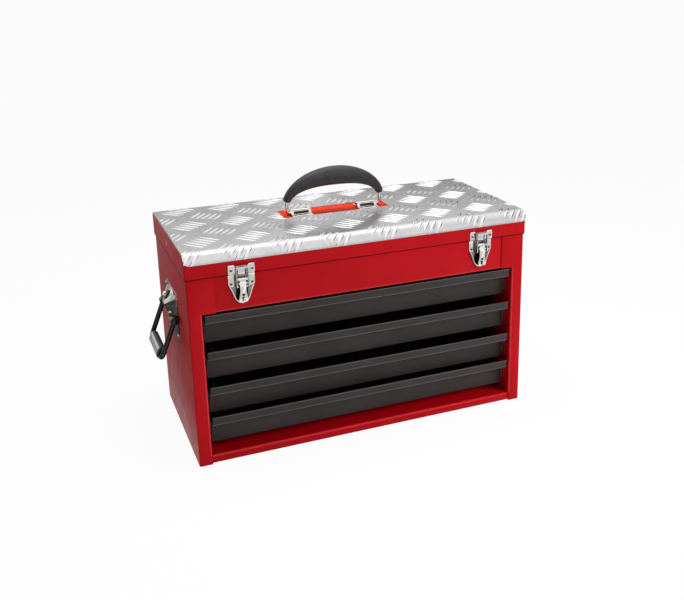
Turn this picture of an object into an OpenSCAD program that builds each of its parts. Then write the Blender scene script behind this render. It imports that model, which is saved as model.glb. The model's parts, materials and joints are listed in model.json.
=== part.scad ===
// Portable tool box: steel cabinet with four drawers, a top compartment under a hinged lid,
// an aluminium tread plate, draw latches, a folding top handle and two side handles.
// Origin: centre of the footprint, on the floor. X to the right, Y to the back, Z up. Millimetres.
// The front of the box looks along -Y. Right-hand pieces are modelled and mirrored to the left.

/* [Cabinet] */
// Width over the side panels
body_w = 520; // [440:5:620]
// Depth from the stiles to the back panel
body_d = 248; // [210:2:300]
// Height of the seam between cabinet and lid
seam_z = 279; // [272:1:310]
// Thickness of the cabinet sheet
sheet_t = 1.2; // [0.8:0.1:1.6]
// Width of the stile at each side of the drawers
stile_w = 19; // [17:0.5:26]
// Width of the side sheet's flange beside the header
header_flange_w = 38; // [30:1:44]
// Depth of the stile's return into the opening
return_d = 18; // [12:1:24]
// Height of the bottom tray's front rail
rail_h = 13.5; // [11:0.5:18]
// Gap between the floor and the bottom tray
tray_lift = 1.5; // [1.5:0.1:3]
// Width of the foot flange along each side
foot_w = 15; // [10:1:18]
// Height of the cabinet rim that stands inside the lid
rim_lap = 6; // [4:0.5:10]

/* [Drawers] */
// Height of a drawer front
drawer_h = 45.3; // [44:0.1:46]
// Space under the lowest drawer
bottom_gap = 12; // [8:0.5:13]
// Space between the two lower drawers
lower_gap = 1.2; // [1:0.1:3]
// Space between the second and third drawer
middle_gap = 8.2; // [2:0.1:9]
// Space between the two upper drawers
upper_gap = 8.7; // [2:0.1:9]
// Space between the top drawer and the header
header_gap = 2.8; // [2:0.1:6]
// How far a drawer's face stands behind the stiles
face_setback = 18; // [14:0.5:19]
// How far the pull lip stands behind the stiles
lip_setback = 1; // [0.5:0.5:3]
// Height of the pull lip
lip_h = 13; // [10:0.5:16]
// Height of the hem along the top of the pull lip
hem_h = 3; // [2:0.1:4]
// Gap between a drawer front and each stile
front_gap = 4; // [2:0.5:6]
// Width taken by the slides on each side of a drawer
slide_w = 13; // [12.5:0.5:16]
// Height of a drawer's side walls
tray_wall_h = 36; // [32:0.5:40]
// Thickness of the drawer sheet
drawer_t = 1; // [0.8:0.1:1.4]
// Height of an outer slide rail
slide_h = 26; // [24:0.5:28]
// Free space behind the drawers
back_space = 16; // [12:1:30]

/* [Lid] */
// Height of the top face of the tread plate
top_z = 316; // [314:1:345]
// Thickness of the tread plate without its bars
plate_t = 2.2; // [1.5:0.1:3]
// Thickness of the lid sheet
lid_t = 1.2; // [0.8:0.1:1.6]
// Gap between the lid's skirt and the cabinet rim
lid_fit = 0.3; // [0.2:0.05:0.5]
// Radius of the lid's front and back top edges
lid_r = 13; // [9:0.5:14]
// Height of the lower edge of the plate's bent apron
apron_z = 300; // [299:0.5:301]
// Corner radius of the apron
apron_r = 7; // [4:0.5:9]
// Width of the window in the tread plate
window_w = 171; // [168:1:180]
// Front edge of the window
window_front = -8; // [-9:0.5:-6]
// Back edge of the window
window_back = 36; // [34:0.5:40]
// Length of a tread bar
bar_len = 38; // [30:1:42]
// Width of a tread bar
bar_w = 4.6; // [3:0.2:5.4]
// Height of a tread bar over the plate
bar_h = 0.9; // [0.5:0.1:1.4]
// Distance between the bars of a group
bar_pitch = 9.2; // [8:0.2:10]
// Distance between groups across the plate
group_pitch_x = 72; // [70:1:84]
// Distance between groups along the plate
group_pitch_y = 88; // [84:1:96]

/* [Hinge] */
// Distance from each end of the lid hinge to the side of the box
hinge_margin = 30; // [10:5:80]
// Outer radius of the hinge knuckles
hinge_r = 3; // [2.6:0.1:3.4]
// Radius of the hinge pin
hinge_pin_r = 1.6; // [1.2:0.1:1.8]
// Number of knuckles
hinge_knuckles = 9; // [5:2:13]

/* [Latches] */
// Distance of each latch's middle from the side of the box
latch_margin = 76; // [66:1:120]
// Width over the ears of a latch
latch_w = 37; // [35:0.5:44]
// Thickness of the latch plates
latch_t = 1.2; // [1:0.1:1.5]
// Height of the lever's pivot below the seam
lever_drop = 6; // [5:0.5:8]
// Radius of the lever's pin
lever_pin_r = 1.25; // [1:0.05:1.4]
// Distance from the lever's pin to the loop's pegs
loop_throw = 11; // [10:0.5:12]
// Radius of the loop's pegs
peg_r = 1.1; // [0.9:0.05:1.3]
// Running clearance of pins in their bores
pin_fit = 0.06; // [0.03:0.01:0.1]

/* [Top handle] */
// Outer half width of the grip
grip_reach = 84; // [83:0.5:86]
// Rise of the grip's crown over its lower ends
grip_rise = 60.5; // [52:0.5:66]
// Half width of the hand opening
hand_reach = 72; // [70:0.5:72]
// Rise of the hand opening
hand_rise = 30.5; // [26:0.5:34]
// Width of the grip at its middle, front to back
grip_mid_w = 25; // [20:0.5:28]
// Width of the grip at its ends
grip_end_w = 13; // [11:0.5:15]
// Radius of the handle rod
rod_r = 3.25; // [2.5:0.25:3.5]
// Distance of the handle pivot behind the middle of the box
pivot_y = 13.5; // [12:0.5:15]
// How far the standing handle leans to the front, in degrees
handle_lean = 8; // [0:1:15]
// Length of each handle bracket
bracket_len = 32; // [26:1:34]
// Width of each handle bracket, front to back
bracket_w = 34; // [30:1:36]
// Thickness of the handle brackets
bracket_t = 1.5; // [1.2:0.1:2]

/* [Side handles] */
// Width of the side handle's plate
side_plate_w = 84; // [76:1:96]
// Height of the side handle's plate
side_plate_h = 72; // [66:1:80]
// Height of the middle of the plate
side_plate_z = 197; // [150:1:210]
// Height of the bail's pivot over the floor
bail_z = 195; // [190:1:200]
// Distance of the bail's pivot from the wall
bail_off = 7; // [6.5:0.5:9]
// Length of the bail from its pivot to the grip
bail_len = 59; // [50:1:64]
// Radius of the bail's wire
wire_r = 3.75; // [2.5:0.25:4]
// Angle at which the bail rests on its stops
bail_rest = 22; // [15:1:35]
// Radius of the bail's pins
bail_pin_r = 2.5; // [2:0.1:3]
// Height of the grip sleeve's section
sleeve_h = 18; // [15:0.5:20]
// Thickness of the grip sleeve's section
sleeve_t = 12.5; // [11:0.5:13]
// Length of the grip sleeve
sleeve_len = 68; // [60:1:68]

/* [Hidden] */
$fn = 48;

RED = [0.70, 0.07, 0.09];
CHARCOAL = [0.22, 0.21, 0.21];
ZINC = [0.62, 0.63, 0.64];
CHROME = [0.82, 0.82, 0.83];
ALUMINIUM = [0.76, 0.76, 0.77];
BLACK = [0.06, 0.06, 0.06];
GREY = [0.45, 0.45, 0.46];

// Seat gap between pieces that rest on each other
seat = 0.3;
// Half the sheet's thickness: a sheet is drawn along its mid-line
mid = sheet_t / 2;
// Mid-line radius of the cabinet's bends
bend_r = 2;
half_w = body_w / 2;
front_y = -body_d / 2;
back_y = body_d / 2;
// Faces of the panels that lie inside the side panels' flanges
panel_front = front_y + sheet_t;
panel_back = back_y - sheet_t;
wall_in = half_w - sheet_t;
// Half width and half depth of what lies inside the side panels' bends
inner_hw = wall_in - bend_r + mid;
inner_back = panel_back - sheet_t - bend_r + mid;
open_hw = half_w - stile_w;
flange_hw = half_w - header_flange_w;
rim_z = seam_z + rim_lap;
back_flange_w = 20;
// Depth of the header's lower and upper fold, height of the compartment floor's side lips
header_fold = 14;
header_hem = 9;
till_lip = 14;
// Rivets of the back panel: distance from its edges, and heights as shares of the cabinet's
panel_rivet_edge = 11;
PANEL_RIVETS = [0.15, 0.47, 0.79];

// Drawers, from the lowest up
drawer_4_z = rail_h + bottom_gap;
drawer_3_z = drawer_4_z + drawer_h + lower_gap;
drawer_2_z = drawer_3_z + drawer_h + middle_gap;
drawer_1_z = drawer_2_z + drawer_h + upper_gap;
DRAWER_Z = [drawer_1_z, drawer_2_z, drawer_3_z, drawer_4_z];
header_z = drawer_1_z + drawer_h + header_gap;
till_z = header_z + sheet_t;
drawer_hw = open_hw - slide_w;
front_hw = open_hw - front_gap;
face_y = front_y + face_setback;
lip_y = front_y + lip_setback;
hem_fold = 1.1 * drawer_t;
drawer_back = panel_back - sheet_t - back_space;
slide_mid = slide_h / 2 + 4;
slide_lip = 3.6;
slide_reach = 9.5;
support_front = front_y + return_d + 1.5;
support_back = panel_back - sheet_t - 6;
rail_front = max(support_front + 3, face_y + drawer_t + 2);

// Lid
lid_over = lid_fit + lid_t;
lid_hw = half_w + lid_over;
lid_hd = back_y + lid_over;
lid_bottom = seam_z + seat;
lid_top = top_z - plate_t;
plate_gap = 0.05;
plate_hd = lid_hd + plate_gap + plate_t;
corner_r = 2.5;

// Hinge
hinge_len = body_w - 2 * hinge_margin;
hinge_y = lid_hd + seat + hinge_r;
hinge_z = lid_bottom;
leaf_t = 1.2;
leaf_h = 22;
knuckle_gap = 0.3;

// Latches
latch_x = half_w - latch_margin;
latch_back = panel_front - latch_t;
lever_y = panel_front - 6.2;
lever_z = seam_z - lever_drop;
knuckle_r = lever_pin_r + pin_fit + 1.2;
peg_y = lever_y + 0.4;
peg_z = lever_z - loop_throw;
strike_y = -lid_hd - latch_t;
hump_front = lever_y;
knuckle_hw = 5.9;
lug_t = 1.1;
lug_r = 2.4;
// How far the raised rim stands out, and how deep rim and lugs reach into the base plate
rim_rise = 1.2;
latch_sink = 0.5;
arm_in = knuckle_hw + lug_t + 2 * seat;
arm_t = 1.2;
web_t = 1.2;
tongue_z = seam_z - 38;
// Rivets in the ears: height under and over the seam, distance from the ear's end
ear_rivet_drop = 13;
ear_rivet_rise = 7;
ear_rivet_edge = 3.8;

// Top handle
pivot_z = lid_top + seat + rod_r;
leg_x = 76.5;
elbow_r = 6;
grip_z0 = 8.65;
grip_start = 12;
grip_steps = 26;
grip_sides = 20;
// The rod's arch: height of its legs and crown, turn of the tight bends, radii of both bends
leg_top = 19.3;
arch_top = grip_z0 + (grip_rise + hand_rise) / 2;
arch_turn = 60;
arch_span = (leg_x - arch_top + leg_top) / (cos(arch_turn) - 1 + sin(arch_turn));
tight_r = leg_x - arch_span * cos(arch_turn);
wide_r = tight_r + arch_span;
// How far the welds between the bends stand out of the rod
weld_rise = 0.15;
hump_r = rod_r + 0.1 + bracket_t;
bracket_out = leg_x - elbow_r - 0.4;
bracket_in = bracket_out - bracket_len;

// Side handles
plate_side_t = 1.5;
ear_t = 1.5;
ear_in = side_plate_w / 2 - ear_t;
eye_in = ear_in + ear_t + seat;
eye_len = 2 * wire_r + 0.4;
eye_r = 6;
arm_y = eye_in + eye_len / 2;
ear_r = 6;
hood_hw = 34;
hood_out = 14;
hood_peak_z = side_plate_z + 12;
// Angle of the hood's upper slope from the vertical, and the middle of that slope in (X, Z)
hood_run = [hood_out - plate_side_t, side_plate_z + side_plate_h / 2 - 2 - hood_peak_z];
hood_angle = atan2(hood_run[0], hood_run[1]);
hood_mid = [half_w + plate_side_t + hood_run[0] / 2, hood_peak_z + hood_run[1] / 2];
// Washer under the rivet on the hood, and both heads' sizes
washer_r = 4.5;
washer_t = 1.2;
hood_rivet_r = 3;
pin_head_r = 4;
// How far the sleeve's section stands off the wire towards the pivot: its outer wall is 1.25 thick
sleeve_shift = sleeve_h / 2 - wire_r - 1.25;

// ---------------------------------------------------------------- sheet metal and placing

// Unit vector from a to b
function heading(a, b) = (b - a) / norm(b - a);

// The direction u turned a quarter turn to the left
function left_of(u) = [-u[1], u[0]];

// Samples of a rounded corner at b: each is [point, angle of travel]
function corner(a, b, c, r, n) =
    let (u = heading(a, b), v = heading(b, c))
    let (from = atan2(u[1], u[0]), turn = atan2(u[0] * v[1] - u[1] * v[0], u * v))
    let (side = sign(turn), centre = b - u * r * tan(abs(turn) / 2) + left_of(u) * r * side)
    [for (k = [0:n]) let (a = from + turn * k / n) [centre - left_of([cos(a), sin(a)]) * r * side, a]];

// Samples of a whole mid-line with rounded corners
function bent_line(path, r, n) =
    let (last = len(path) - 1, u = heading(path[0], path[1]), v = heading(path[last - 1], path[last]))
    concat([[path[0], atan2(u[1], u[0])]],
           [for (i = [1:last - 1]) each corner(path[i - 1], path[i], path[i + 1], r, n)],
           [[path[last], atan2(v[1], v[0])]]);

// Section of a bent sheet of thickness t along a mid-line
module bent_sheet(path, t, r, n = 4) {
    samples = bent_line(path, r, n);
    near = [for (s = samples) s[0] + left_of([cos(s[1]), sin(s[1])]) * t / 2];
    far = [for (s = samples) s[0] - left_of([cos(s[1]), sin(s[1])]) * t / 2];
    polygon(concat(near, [for (i = [len(far) - 1:-1:0]) far[i]]));
}

// A section drawn in (Y, Z), run along X about the middle
module along_x(length) {
    rotate([90, 0, 90]) linear_extrude(length, center = true) children();
}

// A section drawn in (Y, Z), run along X from x0 to x1
module between_x(x0, x1) {
    translate([x0, 0, 0]) rotate([90, 0, 90]) linear_extrude(x1 - x0) children();
}

// A section drawn in (X, Z), run along Y from y0 to y1
module between_y(y0, y1) {
    translate([0, y1, 0]) rotate([90, 0, 0]) linear_extrude(y1 - y0) children();
}

// A section drawn in (X, Y), run up from z0 to z1
module between_z(z0, z1) {
    translate([0, 0, z0]) linear_extrude(z1 - z0) children();
}

// A box given by its low and high corners
module block(low, high) {
    translate(low) cube(high - low);
}

// A rectangle with round corners, low corner at the origin of its own box
module round_rect(low, high, r) {
    translate([low[0] + r, low[1]]) square([high[0] - low[0] - 2 * r, high[1] - low[1]]);
    translate([low[0], low[1] + r]) square([high[0] - low[0], high[1] - low[1] - 2 * r]);
    for (x = [low[0] + r, high[0] - r], y = [low[1] + r, high[1] - r]) translate([x, y]) circle(r);
}

// A cylinder along X from x0 to x1
module rod_x(x0, x1, r) {
    translate([x0, 0, 0]) rotate([0, 90, 0]) cylinder(x1 - x0, r = r);
}

// A cylinder along Y from y0 to y1
module rod_y(y0, y1, r) {
    translate([0, y0, 0]) rotate([-90, 0, 0]) cylinder(y1 - y0, r = r);
}

// A domed rivet head of radius r standing h high on the XY plane
module rivet_head(r, h) {
    ball_r = (r * r + h * h) / (2 * h);
    intersection() {
        translate([0, 0, h - ball_r]) sphere(ball_r);
        cylinder(h, r = r);
    }
}

// The same piece on the left, mirrored from the right
module on_left() {
    mirror([1, 0, 0]) children();
}

// ---------------------------------------------------------------- cabinet

// One side sheet: wall, stile, header flange, return, back flange and foot flange
module side_panel() {
    back_mid = panel_back - mid;
    wall = [[half_w - mid, front_y + mid], [half_w - mid, back_mid], [half_w - back_flange_w, back_mid]];
    color(RED) {
        between_z(0, rail_h) bent_sheet(concat([[open_hw, front_y + mid]], wall), sheet_t, bend_r);
        between_z(rail_h, header_z)
            bent_sheet(concat([[open_hw + mid, front_y + return_d], [open_hw + mid, front_y + mid]], wall),
                       sheet_t, bend_r);
        between_z(header_z, rim_z) bent_sheet(concat([[flange_hw, front_y + mid]], wall), sheet_t, bend_r);
        block([half_w - foot_w, panel_front, 0], [half_w - mid, panel_back - sheet_t, sheet_t]);
    }
}

// Plain back sheet over the side panels' back flanges
module back_panel() {
    color(RED) block([-half_w + 0.5, panel_back, seat], [half_w - 0.5, back_y, rim_z]);
}

// Front sheet over the drawers, folded back along its lower and upper edge
module header_panel() {
    y = panel_front + mid;
    color(RED) along_x(2 * inner_hw)
        bent_sheet([[y + header_fold, header_z + mid], [y, header_z + mid], [y, rim_z - mid],
                    [y + header_hem, rim_z - mid]], sheet_t, bend_r);
}

// Floor sheet with its front rail and back skirt turned down
module bottom_tray() {
    y0 = panel_front + mid;
    y1 = panel_back - sheet_t - mid;
    z = rail_h - mid;
    color(RED) along_x(2 * inner_hw)
        bent_sheet([[y0, tray_lift], [y0, z], [y1, z], [y1, tray_lift]], sheet_t, bend_r);
}

// Floor of the top compartment, turned up along the side walls
module till_floor() {
    x = wall_in - mid;
    z = till_z + mid;
    color(RED) between_y(-inner_back, inner_back)
        bent_sheet([[-x, z + till_lip], [-x, z], [x, z], [x, z + till_lip]], sheet_t, bend_r);
}

// Channel beside the drawers that carries the slide rails
module slide_support() {
    x = open_hw + mid;
    color(RED) between_z(rail_h, till_z)
        bent_sheet([[wall_in, support_front + mid], [x, support_front + mid], [x, support_back - mid],
                    [wall_in, support_back - mid]], sheet_t, bend_r);
}

// Outer slide rails of the four drawers on one side
module slide_rails() {
    x0 = open_hw - slide_reach + mid;
    x1 = open_hw - mid;
    h = slide_h / 2 - mid;
    color(ZINC) for (z = DRAWER_Z)
        between_y(rail_front, support_back - 3) translate([0, z + slide_mid])
            bent_sheet([[x0, h + mid - slide_lip], [x0, h], [x1, h], [x1, -h], [x0, -h],
                        [x0, slide_lip - h - mid]], sheet_t, 1.2, 3);
}

// Heads of the rivets that hold the back panel and the slide supports
module panel_rivets() {
    color(RED) {
        for (s = [-1, 1], share = PANEL_RIVETS)
            translate([s * (half_w - panel_rivet_edge), back_y, share * seam_z])
                rotate([-90, 0, 0]) rivet_head(3, 1.4);
    }
}

// ---------------------------------------------------------------- hinge

function knuckle_len() = hinge_len / hinge_knuckles;

// Knuckles of one leaf: the lower leaf has the odd ones, counted from 0 at the left
module knuckles(first) {
    pitch = knuckle_len();
    for (i = [first:2:hinge_knuckles - 1])
        translate([-hinge_len / 2 + i * pitch, hinge_y, hinge_z])
            rod_x(knuckle_gap / 2, pitch - knuckle_gap / 2, hinge_r);
}

// Strips that join one leaf's plate to its knuckles, given by two corners in (Y, Z)
module knuckle_strips(first, low, high) {
    pitch = knuckle_len();
    for (i = [first:2:hinge_knuckles - 1])
        translate([-hinge_len / 2 + i * pitch, 0, 0])
            block([knuckle_gap / 2, low[0], low[1]], [pitch - knuckle_gap / 2, high[0], high[1]]);
}

module hinge_bore() {
    translate([0, hinge_y, hinge_z]) rod_x(-hinge_len / 2 - 1, hinge_len / 2 + 1, hinge_pin_r + pin_fit);
}

module hinge_leaf_lower() {
    top = hinge_z - hinge_r - seat;
    color(ZINC) difference() {
        union() {
            knuckles(0);
            knuckle_strips(0, [back_y, top - leaf_t], [hinge_y, top + seat + 0.3]);
            block([-hinge_len / 2, back_y, top - leaf_h], [hinge_len / 2, back_y + leaf_t, top]);
        }
        hinge_bore();
    }
}

module hinge_leaf_upper() {
    bottom = hinge_z + hinge_r + seat;
    color(ZINC) difference() {
        union() {
            knuckles(1);
            knuckle_strips(1, [lid_hd, hinge_z], [lid_hd + leaf_t, bottom + 1]);
            block([-hinge_len / 2, lid_hd, bottom], [hinge_len / 2, lid_hd + leaf_t, apron_z - 2]);
        }
        hinge_bore();
    }
}

module hinge_pin() {
    color(ZINC) translate([0, hinge_y, hinge_z]) rod_x(-hinge_len / 2, hinge_len / 2, hinge_pin_r);
}

// Rivets along a leaf, on its outer face y at height z
module leaf_rivets(y, z) {
    count = 6;
    color(ZINC) for (i = [0:count - 1])
        translate([hinge_len * (0.06 + 0.88 * i / (count - 1) - 0.5), y, z])
            rotate([-90, 0, 0]) rivet_head(2.6, 1.2);
}

// ---------------------------------------------------------------- lid

// Section of the lid in (Y, Z): flat top, round front and back edges, half depth d, up to z1
module lid_section(d, z0, z1, r) {
    intersection() {
        translate([-d, z0]) square([2 * d, z1 - z0]);
        union() {
            translate([-d, z0 - 1]) square([2 * d, max(1, z1 - r - z0 + 1)]);
            translate([-d + r, z0]) square([2 * (d - r), z1 - z0]);
            for (y = [-d + r, d - r]) translate([y, z1 - r]) circle(r, $fn = 96);
        }
    }
}

module lid_shell() {
    color(RED) difference() {
        intersection() {
            along_x(2 * lid_hw) lid_section(lid_hd, lid_bottom, lid_top, lid_r);
            between_z(lid_bottom, lid_top)
                round_rect([-lid_hw, -lid_hd], [lid_hw, lid_hd], corner_r);
        }
        along_x(2 * (lid_hw - lid_t))
            lid_section(lid_hd - lid_t, lid_bottom - 1, lid_top - lid_t, lid_r - lid_t);
    }
}

// Outline of one tread bar: the lens between two circles
module tread_bar() {
    r = (bar_len * bar_len / 4 + bar_w * bar_w / 4) / bar_w;
    intersection() {
        translate([0, r - bar_w / 2]) circle(r, $fn = 180);
        translate([0, bar_w / 2 - r]) circle(r, $fn = 180);
    }
}

// Five bars side by side, running at the given angle
module bar_group(angle) {
    rotate(angle) for (k = [-2:2]) translate([0, k * bar_pitch]) tread_bar();
}

// Groups in two directions, in turn over the flat of the plate
module tread_pattern() {
    nx = ceil(lid_hw / group_pitch_x) + 1;
    ny = ceil(lid_hd / group_pitch_y) + 1;
    for (i = [-nx:nx], j = [-ny:ny])
        translate([(i - 0.14) * group_pitch_x, (j + 0.13) * group_pitch_y]) {
            bar_group(-48);
            translate([group_pitch_x / 2, group_pitch_y / 2]) bar_group(52);
        }
}

// Flat part of the plate that carries bars: inside the edges and clear of the window
module pattern_field() {
    edge = 2;
    flat_hd = lid_hd - lid_r - edge;
    difference() {
        translate([-lid_hw + edge, -flat_hd]) square([2 * (lid_hw - edge), 2 * flat_hd]);
        translate([-window_w / 2 - edge, window_front - edge])
            square([window_w + 2 * edge, window_back - window_front + 2 * edge]);
    }
}

module tread_plate() {
    r_in = lid_r + plate_gap;
    color(ALUMINIUM) {
        difference() {
            along_x(2 * lid_hw) difference() {
                lid_section(plate_hd, apron_z, top_z, r_in + plate_t);
                lid_section(plate_hd - plate_t, apron_z - 1, top_z - plate_t, r_in);
            }
            block([-window_w / 2, window_front, lid_top - 1], [window_w / 2, window_back, top_z + 1]);
            for (s = [-1, 1]) apron_corner(s);
        }
        between_z(top_z - 0.01, top_z + bar_h) intersection() {
            tread_pattern();
            pattern_field();
        }
    }
}

// What is cut off the apron's lower corner at side s, front and back
module apron_corner(s) {
    x = s * lid_hw;
    between_y(-plate_hd - 1, plate_hd + 1) difference() {
        translate([min(x, x - s * apron_r), apron_z - 1]) square([apron_r, apron_r + 1]);
        translate([x - s * apron_r, apron_z + apron_r]) circle(apron_r);
    }
}

module lid_side_rivets() {
    color(RED) for (s = [-1, 1])
        translate([s * lid_hw, 0, seam_z + 18]) rotate([0, s * 90, 0]) rivet_head(2.4, 1.2);
}

// ---------------------------------------------------------------- latches

// Half outline of the base plate in (X, Z) down its right edge, moved in by inset
function shield_edge(inset) = [
    [latch_w / 2 - inset, seam_z - seat],
    [latch_w / 2 - inset, seam_z - 13.5],
    [latch_w * 0.48 - inset, seam_z - 16],
    [latch_w * 0.38 - inset, seam_z - 24],
    [latch_w * 0.325 - inset, seam_z - 30],
    [latch_w * 0.26 - inset, seam_z - 36],
    [latch_w * 0.14 - inset * 0.7, seam_z - 40.3 + inset * 0.7],
    [0, seam_z - 42 + inset]
];

module shield(inset) {
    right = shield_edge(inset);
    polygon(concat(right, [for (i = [len(right) - 2:-1:0]) [-right[i][0], right[i][1]]]));
}

// Base plate with ears, raised rim, two lugs for the lever's pin and a padlock staple
module latch_base() {
    rim_w = 1.6;
    staple_z = tongue_z + 4.1;
    color(CHROME) difference() {
        union() {
            between_y(latch_back, panel_front) shield(0);
            between_y(latch_back - rim_rise, latch_back + latch_sink) difference() {
                shield(0);
                shield(rim_w);
                translate([-latch_w, seam_z - 18]) square([2 * latch_w, 19]);
            }
            for (s = [-1, 1]) lever_lug(s);
            between_x(-0.8, 0.8)
                round_rect([lever_y - 5.5, staple_z - 2.3], [latch_back + latch_sink, staple_z + 2.3], 1.2);
        }
        translate([0, lever_y, lever_z]) rod_x(-arm_in, arm_in, lever_pin_r);
        translate([0, lever_y - 3.6, staple_z]) rod_x(-2, 2, 1);
    }
}

// One of the base plate's lugs for the lever's pin
module lever_lug(s) {
    x0 = knuckle_hw + seat;
    lug_x = s > 0 ? x0 : -x0 - lug_t;
    between_x(lug_x, lug_x + lug_t) {
        translate([lever_y, lever_z]) circle(lug_r);
        translate([lever_y, lever_z - lug_r]) square([latch_back + latch_sink - lever_y, 2 * lug_r]);
    }
}

module latch_pins() {
    color(CHROME) for (s = [-1, 1])
        translate([s * latch_x, lever_y, lever_z]) rod_x(-arm_in + seat, arm_in - seat, lever_pin_r);
}

// Lever: knuckle round the pin, web and flared tongue with its hole and slot, two cheeks
module latch_lever() {
    web_y = lever_y - knuckle_r;
    neck_hw = 4.2;
    cheek_in = neck_hw - web_t;
    tip_hw = 6.7;
    hole_z = tongue_z + 10;
    color(CHROME) difference() {
        union() {
            translate([0, lever_y, lever_z]) rod_x(-knuckle_hw, knuckle_hw, knuckle_r);
            translate([0, web_y + 0.6, lever_z - 5.8]) rod_x(-knuckle_hw, knuckle_hw, 1.4);
            between_y(web_y, web_y + web_t) {
                polygon([[-neck_hw, lever_z], [-neck_hw, tongue_z + 14], [-tip_hw, tongue_z + 3],
                         [-tip_hw + 2, tongue_z], [tip_hw - 2, tongue_z], [tip_hw, tongue_z + 3],
                         [neck_hw, tongue_z + 14], [neck_hw, lever_z]]);
            }
            for (s = [-1, 1]) mirror([s > 0 ? 0 : 1, 0, 0]) between_x(cheek_in, neck_hw) {
                translate([web_y, peg_z - 2.6]) square([peg_y - web_y, 6]);
                translate([peg_y, peg_z]) circle(2.6);
            }
        }
        translate([0, lever_y, lever_z]) rod_x(-knuckle_hw - 1, knuckle_hw + 1, lever_pin_r + pin_fit);
        translate([0, peg_y, peg_z]) rod_x(-neck_hw - 1, neck_hw + 1, peg_r + pin_fit);
        translate([0, 0, hole_z]) rod_y(web_y - 1, web_y + web_t + 1, 1.6);
        between_y(web_y - 1, web_y + web_t + 1) translate([-1.5, tongue_z + 1.4]) square([3, 5.4]);
    }
}

// Loop: two arms with pegs at the lever, joined by a cross bar in front of the strike
module latch_loop() {
    arm_front = lever_y - 2.6;
    bar_back = hump_front - 0.5;
    bar_top = seam_z + 12;
    peg_in = 3.6;
    color(CHROME) {
        for (s = [-1, 1]) mirror([s > 0 ? 0 : 1, 0, 0]) {
            between_x(arm_in, arm_in + arm_t) {
                translate([peg_y, peg_z]) circle(2.5);
                translate([arm_front, peg_z]) square([2.9, bar_top - peg_z]);
            }
            translate([0, peg_y, peg_z]) {
                rod_x(peg_in, arm_in + 0.1, peg_r);
                translate([arm_in + arm_t, 0, 0]) rotate([0, 90, 0]) rivet_head(1.9, 0.7);
            }
        }
        block([-arm_in - 0.1, arm_front, bar_top - 2.4], [arm_in + 0.1, bar_back, bar_top]);
    }
}

// Strike on the lid: two ears and a hump that the loop lies against
module latch_strike() {
    z0 = seam_z + 1.4;
    z1 = seam_z + 14.5;
    ear_in = 9.8;
    hump_r = 14;
    hump_hw = 6.4;
    color(CHROME) {
        between_y(strike_y, -lid_hd) {
            for (s = [-1, 1])
                round_rect([s > 0 ? ear_in : -latch_w / 2, z0], [s > 0 ? latch_w / 2 : -ear_in, z1], 1.5);
            translate([-ear_in - 1, z0]) square([2 * ear_in + 2, z1 - z0 - 2]);
        }
        intersection() {
            translate([0, hump_front + hump_r, z0]) cylinder(z1 - z0 - 3, r = hump_r);
            block([-hump_hw, hump_front - 1, z0], [hump_hw, strike_y + 0.3, z1]);
        }
    }
}

// Rivets in the ears of both latches, seated at depth y and height z
module ear_rivets(y, z) {
    x = latch_w / 2 - ear_rivet_edge;
    color(CHROME) for (side = [-1, 1], s = [-1, 1])
        translate([side * latch_x + s * x, y, z]) rotate([90, 0, 0]) rivet_head(2.3, 1.1);
}

// ---------------------------------------------------------------- drawers

// Drawer tray: bottom and sides from one sheet with turned-in top edges, front and back walls
module drawer_tray(z) {
    m = drawer_t / 2;
    x = drawer_hw - m;
    y0 = face_y + drawer_t;
    color(CHARCOAL) translate([0, 0, z]) {
        between_y(y0, drawer_back)
            bent_sheet([[-x + 5, tray_wall_h - m], [-x, tray_wall_h - m], [-x, m], [x, m],
                        [x, tray_wall_h - m], [x - 5, tray_wall_h - m]], drawer_t, 1.5, 4);
        for (y = [y0, drawer_back - drawer_t])
            block([-x, y, m], [x, y + drawer_t, tray_wall_h - drawer_t - 0.5]);
    }
}

// Drawer front: a face as wide as the opening, stepped forward near its top to the pull lip,
// whose upper edge is hemmed outwards
module drawer_front(z) {
    m = drawer_t / 2;
    y = face_y + m;
    band_y = lip_y + hem_fold + m;
    step_z = drawer_h - lip_h + m;
    top = drawer_h - m;
    color(CHARCOAL) translate([0, 0, z]) along_x(2 * front_hw) {
        bent_sheet([[y, 0], [y, step_z], [band_y, step_z], [band_y, top - m]], drawer_t, 1.5, 4);
        bent_sheet([[band_y, top - hem_h], [band_y, top], [lip_y + m, top], [lip_y + m, top - hem_h]],
                   drawer_t, hem_fold / 2, 4);
    }
}

// Inner slide members on both sides of a drawer
module drawer_slides(z) {
    m = drawer_t / 2;
    h = slide_h / 2 - slide_lip - seat - m;
    x1 = open_hw - sheet_t - seat;
    color(ZINC) for (s = [-1, 1]) mirror([s > 0 ? 0 : 1, 0, 0])
        between_y(rail_front + 1, drawer_back - 2) translate([0, z + slide_mid])
            bent_sheet([[x1, h], [drawer_hw + m, h], [drawer_hw + m, -h], [x1, -h]], drawer_t, 1.2, 3);
}

// ---------------------------------------------------------------- top handle

// Outer and inner edge of the grip at angle a, in (X, Z) over the pivot
function grip_out(a) = [grip_reach * cos(a), grip_z0 + grip_rise * sin(a)];
function grip_in(a) =
    [hand_reach * sign(cos(a)) * pow(abs(cos(a)), 0.8), grip_z0 + hand_rise * pow(sin(a), 0.8)];
function grip_mid(a) = (grip_out(a) + grip_in(a)) / 2;

// Ring of points at angle a: half thickness t along the grip's section, half width w front to back
function grip_ring(a, t, w) =
    let (c = grip_mid(a), u = heading(grip_in(a), grip_out(a)))
    [for (k = [0:grip_sides - 1]) let (p = 360 * k / grip_sides)
        [c[0] + u[0] * t * cos(p), w * sin(p), c[1] + u[1] * t * cos(p)]];

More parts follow.
